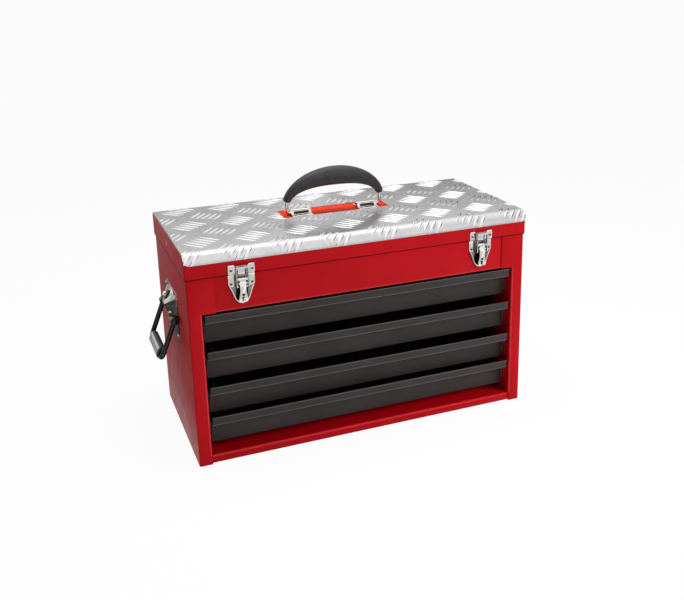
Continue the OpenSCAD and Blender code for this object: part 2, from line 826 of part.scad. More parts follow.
function grip_angle(i) = grip_start + (180 - 2 * grip_start) * i / grip_steps;
function grip_half_t(a) = norm(grip_out(a) - grip_in(a)) / 2;
function grip_half_w(a) = grip_end_w / 2 + (grip_mid_w - grip_end_w) / 2 * pow(sin(a), 2);

// Triangles between ring i and ring i + 1
function ring_faces(i) =
    [for (k = [0:grip_sides - 1])
        let (a = i * grip_sides + k, b = i * grip_sides + (k + 1) % grip_sides)
        each [[a, b + grip_sides, b], [a, a + grip_sides, b + grip_sides]]];

// Puts the handle's own frame, whose X axis is the pivot, at its place on the lid
module at_handle() {
    translate([0, pivot_y, pivot_z]) rotate([handle_lean, 0, 0]) children();
}

// Bent rod without its pivot ends, of radius r: a leg and a tight bend at each side, one wide arc between
module rod_arch(r) {
    for (s = [0, 1]) mirror([s, 0, 0]) {
        translate([leg_x, 0, elbow_r]) cylinder(leg_top - elbow_r, r = r);
        translate([leg_x - tight_r, 0, leg_top]) rotate([90, 0, 0])
            rotate_extrude(angle = arch_turn) translate([tight_r, 0]) circle(r);
        translate([wide_r * cos(arch_turn), 0, arch_top - wide_r * (1 - sin(arch_turn))])
            sphere(r + weld_rise);
    }
    translate([0, 0, arch_top - wide_r]) rotate([90, 0, 0]) rotate([0, 0, arch_turn])
        rotate_extrude(angle = 180 - 2 * arch_turn) translate([wide_r, 0]) circle(r);
}

module top_handle_grip() {
    skin = [for (i = [0:grip_steps]) let (a = grip_angle(i))
        each grip_ring(a, grip_half_t(a), grip_half_w(a))];
    last = grip_steps * grip_sides;
    faces = concat(
        [for (i = [0:grip_steps - 1]) each ring_faces(i)],
        [[for (k = [0:grip_sides - 1]) k]],
        [[for (k = [grip_sides - 1:-1:0]) last + k]]);
    color(BLACK) at_handle() difference() {
        polyhedron(skin, faces);
        rod_arch(rod_r + 0.1);
    }
}

module top_handle_rod() {
    color(CHROME) at_handle() {
        rod_arch(rod_r);
        for (s = [0, 1]) mirror([s, 0, 0]) {
            translate([leg_x - elbow_r, 0, elbow_r]) rotate([90, 0, 0])
                rotate_extrude(angle = -90) translate([elbow_r, 0]) circle(rod_r);
            rod_x(bracket_in + 1.5, leg_x - elbow_r, rod_r);
        }
    }
}

// Bracket: a strap bent into a hump over the rod, with a flange before and behind
module handle_bracket() {
    foot = lid_top - pivot_z;
    fillet = 3;
    bore_r = rod_r + pin_fit;
    color(CHROME) between_x(bracket_in, bracket_out) translate([pivot_y, pivot_z]) difference() {
        union() {
            intersection() {
                circle(hump_r);
                translate([-hump_r, foot]) square(2 * hump_r);
            }
            translate([-hump_r, foot]) square([2 * hump_r, -foot]);
            translate([-bracket_w / 2, foot]) square([bracket_w, bracket_t]);
            for (s = [-1, 1]) translate([s * hump_r, foot + bracket_t]) difference() {
                translate([s > 0 ? 0 : -fillet, 0]) square(fillet);
                translate([s * fillet, fillet]) circle(fillet);
            }
        }
        circle(bore_r);
        translate([-bore_r, foot - 1]) square([2 * bore_r, 1 - foot]);
    }
}

module handle_bracket_rivets() {
    inset = 8;
    color(CHROME) for (s = [-1, 1], x = [bracket_in + inset, bracket_out - inset], side = [-1, 1])
        translate([s * x, pivot_y + side * (bracket_w / 2 - 4.2), lid_top + bracket_t]) rivet_head(2.4, 1.1);
}

// ---------------------------------------------------------------- side handles

// Wall plate with two ears for the bail's pins and a pressed diamond between them
module side_bracket() {
    x = half_w + plate_side_t;
    low = side_plate_z - side_plate_h / 2;
    high = side_plate_z + side_plate_h / 2;
    color(CHROME) difference() {
        union() {
            between_x(half_w, x)
                round_rect([-side_plate_w / 2, low], [side_plate_w / 2, high], 9);
            for (s = [-1, 1]) mirror([0, s > 0 ? 0 : 1, 0]) between_y(ear_in, ear_in + ear_t) {
                translate([half_w + bail_off, bail_z]) circle(ear_r);
                translate([half_w + 0.5, bail_z - ear_r]) square([bail_off - 0.5, 2 * ear_r]);
            }
            hull() {
                block([x - 0.5, -hood_hw, high - 20], [x, hood_hw, high - 10]);
                block([x - 0.5, -14, high - 3], [x, 14, high - 2]);
                block([x - 0.5, -2, hood_peak_z - 28], [x, 2, hood_peak_z - 26]);
                block([x, -1.5, hood_peak_z - 23], [half_w + 6.5, 1.5, hood_peak_z - 22]);
                block([x, -9, hood_peak_z - 3], [half_w + hood_out, 9, hood_peak_z]);
            }
        }
        translate([half_w + bail_off, 0, bail_z]) {
            rod_y(-side_plate_w, side_plate_w, bail_pin_r);
        }
    }
}

// The two pins of one side handle, with their round heads
module bail_pins() {
    tip = ear_in - 2;
    head = eye_in + eye_len + seat;
    color(BLACK) for (s = [-1, 1]) translate([half_w + bail_off, 0, bail_z]) {
        mirror([0, s > 0 ? 0 : 1, 0]) {
            rod_y(tip, head, bail_pin_r);
            translate([0, head, 0]) rotate([-90, 0, 0]) rivet_head(pin_head_r, pin_head_r / 2);
        }
    }
}

// Puts what hangs straight down from a pivot at the origin in its place, swung out to its rest
module at_bail() {
    translate([half_w + bail_off, 0, bail_z]) rotate([0, -bail_rest, 0]) children();
}

module side_bail() {
    turn_r = 8;
    color(BLACK) at_bail() difference() {
        union() {
            for (s = [-1, 1]) mirror([0, s > 0 ? 0 : 1, 0]) {
                rod_y(eye_in, eye_in + eye_len, eye_r);
                translate([0, arm_y, turn_r - bail_len]) cylinder(bail_len - turn_r, r = wire_r);
                translate([0, arm_y - turn_r, turn_r - bail_len]) rotate([0, 90, 0])
                    rotate_extrude(angle = 90) translate([turn_r, 0]) circle(wire_r);
            }
            translate([0, 0, -bail_len]) rod_y(turn_r - arm_y, arm_y - turn_r, wire_r);
        }
        rod_y(-arm_y - eye_len, arm_y + eye_len, bail_pin_r + pin_fit);
    }
}

module side_grip() {
    flat = sleeve_h / 2 - sleeve_t / 2;
    half = sleeve_len / 2;
    color(GREY) at_bail() translate([0, 0, -bail_len]) between_y(-half, half) difference() {
        translate([0, sleeve_shift]) {
            for (s = [-1, 1]) translate([0, s * flat]) circle(sleeve_t / 2);
            translate([-sleeve_t / 2, -flat]) square([sleeve_t, 2 * flat]);
        }
        circle(wire_r + 0.05);
    }
}

// Washer and rivet on the upper slope of each hood
module hood_rivets() {
    color(BLACK) for (side = [0, 1]) mirror([side, 0, 0])
        translate([hood_mid[0], 0, hood_mid[1]]) rotate([0, 90 - hood_angle, 0]) {
            cylinder(washer_t, r = washer_r);
            translate([0, 0, washer_t]) rivet_head(hood_rivet_r, hood_rivet_r / 2);
        }
}

module side_handle_rivets() {
    inset = 6;
    color(CHROME) for (side = [-1, 1], s = [-1, 1], t = [-1, 1])
        translate([side * (half_w + plate_side_t), s * (side_plate_w / 2 - inset),
                   side_plate_z + t * (side_plate_h / 2 - inset)])
            rotate([0, side * 90, 0]) rivet_head(2.6, 1.3);
}

// ---------------------------------------------------------------- nodes

on_left() side_panel();  // left_side_panel
side_panel();  // right_side_panel
back_panel();
header_panel();
bottom_tray();
till_floor();
on_left() slide_support();  // left_slide_support
slide_support();  // right_slide_support
on_left() slide_rails();  // left_slide_rails
slide_rails();  // right_slide_rails
hinge_leaf_lower();
hinge_pin();
leaf_rivets(back_y + leaf_t, hinge_z - hinge_r - 12);  // hinge_rivets_lower
panel_rivets();
translate([-latch_x, 0, 0]) latch_base();  // latch_base_left
translate([latch_x, 0, 0]) latch_base();  // latch_base_right
latch_pins();
ear_rivets(latch_back, seam_z - ear_rivet_drop);  // latch_rivets
on_left() side_bracket();  // side_bracket_left
side_bracket();  // side_bracket_right
union() {  // side_handle_pins
    bail_pins();
    on_left() bail_pins();
}
side_handle_rivets();
hood_rivets();
lid_shell();
tread_plate();
hinge_leaf_upper();
leaf_rivets(lid_hd + leaf_t, hinge_z + hinge_r + 10);  // hinge_rivets_upper
lid_side_rivets();
on_left() handle_bracket();  // handle_bracket_left
handle_bracket();  // handle_bracket_right
handle_bracket_rivets();
translate([-latch_x, 0, 0]) latch_strike();  // latch_strike_left
translate([latch_x, 0, 0]) latch_strike();  // latch_strike_right
ear_rivets(strike_y, seam_z + ear_rivet_rise);  // strike_rivets
drawer_tray(drawer_1_z);  // drawer_1_tray
drawer_front(drawer_1_z);  // drawer_1_front
drawer_slides(drawer_1_z);  // drawer_1_slides
drawer_tray(drawer_2_z);  // drawer_2_tray
drawer_front(drawer_2_z);  // drawer_2_front
drawer_slides(drawer_2_z);  // drawer_2_slides
drawer_tray(drawer_3_z);  // drawer_3_tray
drawer_front(drawer_3_z);  // drawer_3_front
drawer_slides(drawer_3_z);  // drawer_3_slides
drawer_tray(drawer_4_z);  // drawer_4_tray
drawer_front(drawer_4_z);  // drawer_4_front
drawer_slides(drawer_4_z);  // drawer_4_slides
top_handle_rod();
top_handle_grip();
on_left() side_bail();  // side_bail_left
on_left() side_grip();  // side_grip_left
side_bail();  // side_bail_right
side_grip();  // side_grip_right
translate([-latch_x, 0, 0]) latch_lever();  // latch_lever_left
translate([-latch_x, 0, 0]) latch_loop();  // latch_loop_left
translate([latch_x, 0, 0]) latch_lever();  // latch_lever_right
translate([latch_x, 0, 0]) latch_loop();  // latch_loop_right
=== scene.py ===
"""Looks of a portable tool box with drawers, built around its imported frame.

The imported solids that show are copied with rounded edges, or dressed as they are. The tread plate,
the top handle's grip and rod, and the rivets of the latches and hoods get finer meshes of their own in
the same place. Lengths are millimetres unless a docstring says otherwise. Meshes are made in metres,
in the frame's axes: X right, the front towards -Y, Z up.
"""

from __future__ import annotations

import json
import logging
import math
from dataclasses import dataclass, field
from enum import Enum
from typing import Callable, Iterable, Sequence

import bmesh
import bpy
from mathutils import Matrix, Vector

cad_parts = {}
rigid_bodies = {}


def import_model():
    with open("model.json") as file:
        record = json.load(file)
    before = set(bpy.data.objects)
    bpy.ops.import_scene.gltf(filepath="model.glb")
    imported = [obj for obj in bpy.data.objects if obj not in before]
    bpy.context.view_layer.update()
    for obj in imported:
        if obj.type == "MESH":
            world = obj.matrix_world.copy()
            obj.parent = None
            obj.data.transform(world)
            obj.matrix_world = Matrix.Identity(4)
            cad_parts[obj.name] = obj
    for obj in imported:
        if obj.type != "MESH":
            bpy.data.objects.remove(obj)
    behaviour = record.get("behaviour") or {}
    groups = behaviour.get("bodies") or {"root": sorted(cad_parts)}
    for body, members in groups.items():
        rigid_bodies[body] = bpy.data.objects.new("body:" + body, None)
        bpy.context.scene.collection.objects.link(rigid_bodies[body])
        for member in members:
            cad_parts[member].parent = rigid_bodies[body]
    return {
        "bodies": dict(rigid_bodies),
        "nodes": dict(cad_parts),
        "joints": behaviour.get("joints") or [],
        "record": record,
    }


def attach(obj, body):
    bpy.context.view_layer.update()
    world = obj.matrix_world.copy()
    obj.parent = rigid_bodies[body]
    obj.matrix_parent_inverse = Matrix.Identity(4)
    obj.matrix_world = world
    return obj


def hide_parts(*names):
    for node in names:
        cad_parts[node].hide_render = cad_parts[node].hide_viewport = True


MM = 0.001
SIDES = {"left": -1, "right": 1}
DRAWERS = (1, 2, 3, 4)
ACROSS, UP, FORWARD = (1, 0, 0), (0, 0, 1), (0, -1, 0)
# The part of its range from 0 to 1 that a noise seldom leaves
NOISE_RANGE = (0.3, 0.7)
# A face looks along an axis if its normal's part along it is over this
ALONG_AXIS = 0.985
# A face looks to the front if its normal's Y is under this
FRONTWARD = -0.3
log = logging.getLogger("tool_box")

Point = tuple[float, float, float]
Rgb = tuple[int, int, int]
Socket = bpy.types.NodeSocket


# ------------------------------------------------------------------ materials


def linear(colour: Rgb) -> tuple[float, float, float, float]:
    """Turns a colour as a picture shows it into the linear colour of a shader.

    Args:
        colour: Red, green and blue, 0 to 255.

    Returns:
        The linear colour with full alpha.
    """
    parts = []
    for value in colour:
        share = value / 255
        parts.append(share / 12.92 if share <= 0.04045 else ((share + 0.055) / 1.055) ** 2.4)
    return (parts[0], parts[1], parts[2], 1.0)


def blank_material(name: str) -> tuple[bpy.types.Material, bpy.types.NodeTree, Socket]:
    """Makes a material whose node tree holds nothing but the output.

    Args:
        name: Name of the material.

    Returns:
        The material, its node tree, and the output's surface socket.
    """
    material = bpy.data.materials.new(name)
    material.use_nodes = True
    tree = material.node_tree
    tree.nodes.clear()
    return material, tree, tree.nodes.new("ShaderNodeOutputMaterial").inputs["Surface"]


class Graph:
    """The node tree of one finish, with short calls for the nodes that the finishes share."""

    def __init__(self, name: str) -> None:
        """Starts a material with a principled shader.

        Args:
            name: Name of the material.
        """
        self.material, self.tree, surface = blank_material(name)
        self.shader = self.tree.nodes.new("ShaderNodeBsdfPrincipled")
        self.tree.links.new(self.shader.outputs[0], surface)
        self.place = self.tree.nodes.new("ShaderNodeTexCoord").outputs["Object"]

    def set(self, **values: float) -> None:
        """Sets constants on the shader's sockets, with underscores for the spaces in their names.

        Args:
            **values: The sockets' values.
        """
        for name, value in values.items():
            self.shader.inputs[name.replace("_", " ")].default_value = value

    def noise(self, size: float, detail: float, stretch: Point = (1, 1, 1)) -> Socket:
        """Adds a noise.

        Args:
            size: Size of its blotches, in millimetres.
            detail: Number of finer layers.
            stretch: How much longer the blotches are along each axis.

        Returns:
            The noise's output, about 0.5 on average.
        """
        mapping = self.tree.nodes.new("ShaderNodeMapping")
        mapping.inputs["Scale"].default_value = [1 / s for s in stretch]
        node = self.tree.nodes.new("ShaderNodeTexNoise")
        node.inputs["Scale"].default_value = 1 / (size * MM)
        node.inputs["Detail"].default_value = detail
        self.tree.links.new(self.place, mapping.inputs["Vector"])
        self.tree.links.new(mapping.outputs[0], node.inputs["Vector"])
        return node.outputs["Fac"]

    def spread(self, source: Socket, low: float, high: float) -> Socket:
        """Maps a noise onto low to high, clipped where the noise seldom goes.

        Args:
            source: The noise's output.
            low: The least result.
            high: The largest result.

        Returns:
            The mapped output.
        """
        node = self.tree.nodes.new("ShaderNodeMapRange")
        for name, value in zip(("From Min", "From Max", "To Min", "To Max"), (*NOISE_RANGE, low, high)):
            node.inputs[name].default_value = value
        self.tree.links.new(source, node.inputs["Value"])
        return node.outputs["Result"]

    def cloud(self, size: float, detail: float, one: Rgb, other: Rgb) -> None:
        """Gives the shader a colour in soft blotches.

        Args:
            size: Size of the blotches, in millimetres.
            detail: Number of finer layers.
            one: The first colour.
            other: The second colour.
        """
        node = self.tree.nodes.new("ShaderNodeMix")
        node.data_type = "RGBA"
        node.inputs["A"].default_value = linear(one)
        node.inputs["B"].default_value = linear(other)
        self.tree.links.new(self.spread(self.noise(size, detail), 0, 1), node.inputs["Factor"])
        self.tree.links.new(node.outputs["Result"], self.shader.inputs["Base Color"])

    def polish(self, source: Socket, roughness: float, less: float, more: float) -> None:
        """Lets the shader's roughness vary.

        Args:
            source: The noise that it follows.
            roughness: The roughness to vary about.
            less: How far it goes below.
            more: How far it goes above.
        """
        varied = self.spread(source, roughness - less, roughness + more)
        self.tree.links.new(varied, self.shader.inputs["Roughness"])

    def bump(self, source: Socket, depth: float, strength: float) -> None:
        """Gives the shader's normal a bump.

        Args:
            source: The height, 0 to 1.
            depth: Height of the bump, in millimetres.
            strength: Strength of the bump, 0 to 1.
        """
        node = self.tree.nodes.new("ShaderNodeBump")
        node.inputs["Distance"].default_value = depth * MM
        node.inputs["Strength"].default_value = strength
        self.tree.links.new(source, node.inputs["Height"])
        self.tree.links.new(node.outputs[0], self.shader.inputs["Normal"])


@dataclass(frozen=True)
class Paint:
    """Baked paint on sheet steel: an even colour with a faint cloud and a fine orange peel.

    Attributes:
        name: Name of the material.
        colour: The paint's colour.
        deep: Its colour in the darker blotches.
        roughness: Its roughness, about which it varies a little.
        peel: Depth of the orange peel.
        peel_size: Size of the peel's dimples.
        gloss: Level of its mirroring, 0.5 for plain gloss paint.
        cloud_size: Size of the darker blotches.
        haze_size: Size of the rougher blotches.
    """

    name: str
    colour: Rgb
    deep: Rgb
    roughness: float = 0.3
    peel: float = 0.01
    peel_size: float = 1.6
    gloss: float = 0.5
    cloud_size: float = 55
    haze_size: float = 18

    def dress(self) -> bpy.types.Material:
        """Builds the material."""
        graph = Graph(self.name)
        graph.set(Specular_IOR_Level=self.gloss, IOR=1.5)
        graph.cloud(self.cloud_size, 3, self.colour, self.deep)
        graph.polish(graph.noise(self.haze_size, 4), self.roughness, less=0.04, more=0.05)
        graph.bump(graph.noise(self.peel_size, 1), self.peel, strength=0.5)
        return graph.material


@dataclass(frozen=True)
class Metal:
    """Bare or plated metal with a faint grain and slightly uneven polish.

    Attributes:
        name: Name of the material.
        colour: The metal's colour.
        dull: Its colour in the duller blotches.
        roughness: Its roughness, about which it varies a little.
        grain: How much longer the grain is along each axis.
        grain_size: Size of the grain.
        grain_depth: Depth of the grain.
        cloud_size: Size of the duller blotches.
    """

    name: str
    colour: Rgb
    dull: Rgb
    roughness: float = 0.3
    grain: Point = (1, 1, 1)
    grain_size: float = 2.4
    grain_depth: float = 0.01
    cloud_size: float = 14

    def dress(self) -> bpy.types.Material:
        """Builds the material."""
        graph = Graph(self.name)
        graph.set(Metallic=1.0)
        graph.cloud(self.cloud_size, 4, self.colour, self.dull)
        fine = graph.noise(self.grain_size, 3, self.grain)
        graph.polish(fine, self.roughness, less=0.05, more=0.06)
        graph.bump(fine, self.grain_depth, strength=0.6)
        return graph.material


@dataclass(frozen=True)
class Moulded:
    """Rubber or plastic with a fine skin grain.

    Attributes:
        name: Name of the material.
        colour: Its colour.
        rubbed: Its colour in the rubbed blotches.
        roughness: Its roughness, about which it varies a little.
        grain_size: Size of the grain.
        grain_depth: Depth of the grain.
        cloud_size: Size of the rubbed blotches.
        haze_size: Size of the rougher blotches.
    """

    name: str
    colour: Rgb
    rubbed: Rgb
    roughness: float = 0.45
    grain_size: float = 0.5
    grain_depth: float = 0.02
    cloud_size: float = 9
    haze_size: float = 4

    def dress(self) -> bpy.types.Material:
        """Builds the material."""
        graph = Graph(self.name)
        graph.set(Specular_IOR_Level=0.5)
        graph.cloud(self.cloud_size, 4, self.colour, self.rubbed)
        graph.polish(graph.noise(self.haze_size, 3), self.roughness, less=0.05, more=0.07)
        graph.bump(graph.noise(self.grain_size, 2), self.grain_depth, strength=0.7)
        return graph.material


class Finish(Enum):
    """The finishes of the tool box, each made once and shared."""

    RED = Paint("baked_red", (186, 8, 20), (178, 6, 18), roughness=0.42, gloss=0.1)
    # Painted highlight: a lighter, glossier red for the bends and cut edges of the red sheets
    RED_EDGE = Paint("baked_red_painted_highlight", (210, 24, 30), (198, 18, 26), roughness=0.28, gloss=0.35)
    # Painted light: a brighter, more orange red for the lid's upward faces, as if lit from above
    LID_TOP = Paint("baked_red_top_painted_light", (222, 62, 34), (210, 56, 30), roughness=0.45, peel=0.02, gloss=0.03)
    # Painted shade: a dark maroon band along the lid's lower edge, standing in for the seam's shadow line
    SEAM = Paint("seam_painted_shade", (74, 6, 12), (52, 5, 9), roughness=0.6, gloss=0.05)
    CHARCOAL = Paint("baked_charcoal", (60, 56, 55), (53, 49, 48), 0.45, peel=0.03, peel_size=0.9, gloss=0.15)
    # Painted highlight: a much lighter grey for the bends and edges of the drawer fronts
    CHARCOAL_EDGE = Paint("baked_charcoal_painted_highlight", (88, 83, 83), (76, 72, 72), peel_size=0.9)
    # Painted shade: the trays darker than the fronts, for the little light that gets into the drawers
    TRAY = Paint("tray_painted_shade", (34, 32, 32), (29, 27, 27), roughness=0.5, peel=0.03, peel_size=0.9, gloss=0.1)
    WIRE = Paint("black_wire_paint", (17, 16, 16), (11, 10, 10), roughness=0.22)
    # Painted shade: the side brackets' metal wall plate darkened, standing in for its shade and dark
    # reflections
    BLACK_WALL = Paint("wall_plate_in_painted_shade", (44, 42, 41), (32, 30, 29), roughness=0.4, gloss=0.25)
    # Painted shade: near black for the hollows of the rivets and for the hole in each lever
    HOLLOW = Paint("rivet_core", (24, 23, 23), (36, 34, 34), roughness=0.5)
    ZINC = Metal("zinc_plate", (200, 202, 204), (178, 180, 183), 0.32, grain=(1, 6, 1), grain_size=0.8)
    CHROME = Metal("bright_plate", (246, 243, 238), (232, 228, 222), 0.14, grain_size=3.0, grain_depth=0.004)
    # Painted shade: a duller copy of the plate for the recessed pan of the latch bases
    DULL_PLATE = Metal("plate_painted_half_shade", (168, 164, 158), (120, 116, 111), roughness=0.32)
    # Painted shade: a darker copy of the bright plate for metal faces that turn away from the light
    DARK_PLATE = Metal("plate_painted_shade", (80, 76, 71), (42, 39, 36))
    # Painted shade: a near-black copy of the plate, behind the levers, on their cheeks and on the staples'
    # flanks
    BLACK_PLATE = Metal("plate_painted_deep_shade", (40, 37, 35), (20, 18, 17))
    ALUMINIUM = Metal("mill_aluminium", (226, 224, 225), (210, 208, 210), 0.3, (7, 1, 1), 0.7, 0.008)
    ROLLED = Metal("rolled_bars", (246, 245, 246), (234, 233, 234), 0.24, grain_size=0.7, grain_depth=0.008)
    # Painted highlight: a light grey for the sleeves' outer side, where they catch the light
    SLEEVE = Metal("sleeve_painted_highlight", (206, 203, 200), (176, 173, 171), 0.34, grain_size=1.5, grain_depth=0.02)
    SLEEVE_DARK = Moulded("sleeve_shade", (66, 63, 62), (46, 44, 44), 0.38, grain_size=1.2, grain_depth=0.05)
    RUBBER = Moulded("grip_rubber", (42, 39, 42), (50, 47, 50))

    @property
    def material(self) -> bpy.types.Material:
        """The finish's material, built at its first use."""
        return bpy.data.materials.get(self.value.name) or self.value.dress()


SLOT_FINISH = {
    "red_paint": Finish.RED,
    "charcoal_paint": Finish.CHARCOAL,
    "zinc_steel": Finish.ZINC,
    "chrome": Finish.CHROME,
    "aluminium": Finish.ALUMINIUM,
    "black_rubber": Finish.RUBBER,
    "black_wire": Finish.WIRE,
    "grey_sleeve": Finish.SLEEVE,
}


# ------------------------------------------------------------------ meshes


class Shading(Enum):
    """How a mesh is shaded: the largest angle over which it looks smooth, in degrees."""

    CREASED = 32
    SMOOTH = 60


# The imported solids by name, and the places of the joints in millimetres; main fills both
SOLIDS: dict[str, bpy.types.Object] = {}
PIVOTS: dict[str, Point] = {}


@dataclass(frozen=True)
class Box:
    """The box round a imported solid, in millimetres."""

    low: Point
    high: Point

    def middle(self, axis: int) -> float:
        """The box's middle along an axis."""
        return (self.low[axis] + self.high[axis]) / 2


def millimetres(point: Iterable[float]) -> Point:
    """A point given in metres, in millimetres and rounded to a tenth of a micrometre."""
    return tuple(round(value / MM, 4) for value in point)


def box_of(node: str) -> Box:
    """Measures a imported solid.

    Args:
        node: The solid's node.

    Returns:
        Its box.
    """
    solid = SOLIDS[node]
    corners = [solid.matrix_world @ corner.co for corner in solid.data.vertices]
    return Box(millimetres(map(min, zip(*corners))), millimetres(map(max, zip(*corners))))


def shade(mesh: bmesh.types.BMesh, shading: Shading) -> None:
    """Makes a mesh look smooth over the edges that are no sharper than the shading's angle."""
    limit = math.radians(shading.value)
    for face in mesh.faces:
        face.smooth = True
    for edge in mesh.edges:
        edge.smooth = len(edge.link_faces) == 2 and edge.calc_face_angle(0) <= limit


def add_object(name: str, mesh: bmesh.types.BMesh) -> bpy.types.Object:
    """Turns a mesh into an object of the scene.

    Args:
        name: Name of the object and of its mesh.
        mesh: The mesh, in metres; it is freed.

    Returns:
        The new object.
    """
    data = bpy.data.meshes.new(name)
    mesh.to_mesh(data)
    mesh.free()
    made = bpy.data.objects.new(name, data)
    bpy.context.scene.collection.objects.link(made)
    return made


def make_piece(name: str, mesh: bmesh.types.BMesh, finishes: Sequence[Finish], body: str,
               stands_for: str | None = None, shading: Shading = Shading.CREASED) -> None:
    """Turns a mesh into a piece that rides on a body.

    Args:
        name: Name of the piece.
        mesh: The mesh, in metres; it is freed.
        finishes: The piece's finishes, in the order of its faces' material indices.
        body: The body that the piece rides on.
        stands_for: The node that the piece replaces, if there is one.
        shading: How the piece is shaded.
    """
    shade(mesh, shading)
    piece = add_object(name, mesh)
    for finish in finishes:
        piece.data.materials.append(finish.material)
    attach(piece, body)
    if stands_for:
        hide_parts(stands_for)
    log.info("%s: %d faces on %s", name, len(piece.data.polygons), body)


def add_grid(mesh: bmesh.types.BMesh, rows: Sequence[Sequence[Point]], closed: bool = False) -> None:
    """Adds a skin over rows of points.

    Args:
        mesh: The mesh to add to.
        rows: Rows with the same number of points each, in metres.
        closed: Whether the rows are rings, the first and last of which get an end face.
    """
    made = [[mesh.verts.new(point) for point in row] for row in rows]
    width = len(made[0])
    for near, far in zip(made, made[1:]):
        for k in range(width if closed else width - 1):
            n = (k + 1) % width
            mesh.faces.new((near[k], near[n], far[n], far[k]))
    if closed:
        mesh.faces.new(made[0])
        mesh.faces.new(list(reversed(made[-1])))


def ring_about(centre: Vector, across: Vector, up: Vector, sides: int) -> list[Point]:
    """Points of an ellipse.

    Args:
        centre: Its centre.
        across: Half of one axis.
        up: Half of the other axis.
        sides: Number of points.

    Returns:
        The points.
    """
    turn = 2 * math.pi / sides
    return [tuple(centre + across * math.cos(k * turn) + up * math.sin(k * turn)) for k in range(sides)]


def add_lathe(mesh: bmesh.types.BMesh, profile: Sequence[tuple[float, float]], at: Point, axis: Point,
              sides: int = 24, inner: float = 0) -> None:
    """Adds a turned shape.

    Args:
        mesh: The mesh to add to, in metres.
        profile: Radius and height of its outline from the foot to the middle, in millimetres.
        at: Its foot's middle, in millimetres.
        axis: The way it looks.
        sides: Number of sides.
        inner: Radius inside which the faces get material index 1, the foot apart, in millimetres.
    """
    turn = Vector(axis).to_track_quat("Z", "Y").to_matrix()
    rows = []
    for radius, height in profile:
        centre = (Vector(at) + turn @ Vector((0, 0, height))) * MM
        rows.append(ring_about(centre, turn.col[0] * radius * MM, turn.col[1] * radius * MM, sides))
    before = set(mesh.faces)
    add_grid(mesh, rows, closed=True)
    made = [face for face in mesh.faces if face not in before]
    bmesh.ops.recalc_face_normals(mesh, faces=made)
    over_foot = profile[0][1] + 0.01
    for face in made:
        place = turn.transposed() @ (face.calc_center_median() / MM - Vector(at))
        if place.xy.length < inner and place.z > over_foot:
            face.material_index = 1


def add_tube(mesh: bmesh.types.BMesh, path: Sequence[Vector], radius: float, sides: int,
             side_way: Vector) -> None:
    """Adds a round bar along a path that lies in a plane.

    Args:
        mesh: The mesh to add to.
        path: Points of the bar's middle, in metres.
        radius: The bar's radius, in metres.
        sides: Number of sides.
        side_way: The direction square to the path's plane, of length 1.
    """
    rows = []
    for i, point in enumerate(path):
        ahead = path[min(i + 1, len(path) - 1)] - path[max(i - 1, 0)]
        across = ahead.cross(side_way).normalized() * radius
        rows.append(ring_about(point, across, side_way.normalized() * radius, sides))
    add_grid(mesh, rows, closed=True)


def quarter(centre: Vector, start: Vector, end: Vector, steps: int) -> list[Vector]:
    """Points of a quarter of a circle.

    Args:
        centre: The circle's centre.
        start: From the centre to the first point.
        end: From the centre to the last point.
        steps: Number of steps.

    Returns:
        The points, both ends among them.
    """
    angles = [math.pi / 2 * k / steps for k in range(steps + 1)]
    return [centre + start * math.cos(angle) + end * math.sin(angle) for angle in angles]


def eased(node: str, width: float, steps: int = 2, sharp: float = 35) -> bmesh.types.BMesh:
    """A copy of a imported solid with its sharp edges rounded.

    Args:
        node: The solid's node.
        width: Width of the rounding, in millimetres.
        steps: Number of steps in the rounding.
        sharp: Smallest angle of an edge that is rounded, in degrees.

    Returns:
        The mesh, in metres.
    """
    same_place, same_plane = 0.001 * MM, math.radians(0.5)
    mesh = bmesh.new()
    mesh.from_mesh(SOLIDS[node].data)
    mesh.transform(SOLIDS[node].matrix_world)
    bmesh.ops.remove_doubles(mesh, verts=mesh.verts, dist=same_place)
    bmesh.ops.dissolve_limit(mesh, angle_limit=same_plane, verts=mesh.verts, edges=mesh.edges)
    limit = math.radians(sharp)
    edges = [edge for edge in mesh.edges if len(edge.link_faces) == 2 and edge.calc_face_angle(0) > limit]
    bmesh.ops.bevel(mesh, geom=edges, offset=width * MM, offset_type="OFFSET", segments=steps, profile=0.5,
                    affect="EDGES", clamp_overlap=True)
    return mesh


def split(mesh: bmesh.types.BMesh, axis: Point, *places: float) -> None:
    """Cuts a mesh's faces along planes square to an axis.

    The cut leaves the faces in any order. They are put in that of their corners, the same at each run.

    Args:
        mesh: The mesh.
        axis: The axis.
        *places: Where the planes cross it, in millimetres.
    """
    for place in places:
        bmesh.ops.bisect_plane(mesh, geom=mesh.verts[:] + mesh.edges[:] + mesh.faces[:],
                               plane_co=Vector(axis) * place * MM, plane_no=axis)
    mesh.verts.index_update()
    by_corners = sorted(mesh.faces, key=lambda face: [corner.index for corner in face.verts])
    rank = {face: number for number, face in enumerate(by_corners)}
    mesh.faces.sort(key=rank.get)


def coat(mesh: bmesh.types.BMesh, index: int, chosen: Callable[[Vector, Vector], bool]) -> None:
    """Gives a material index to the faces that a test chooses.

    Args:
        mesh: The mesh.
        index: The material index.
        chosen: The test, of a face's middle in millimetres and its normal.
    """
    for face in mesh.faces:
        if chosen(face.calc_center_median() / MM, face.normal):
            face.material_index = index


def is_bent(normal: Vector) -> bool:
    """Whether a face with this normal is on a bend or a rounded edge: it looks along none of the axes."""
    return max(abs(part) for part in normal) < ALONG_AXIS


# ------------------------------------------------------------------ tread plate


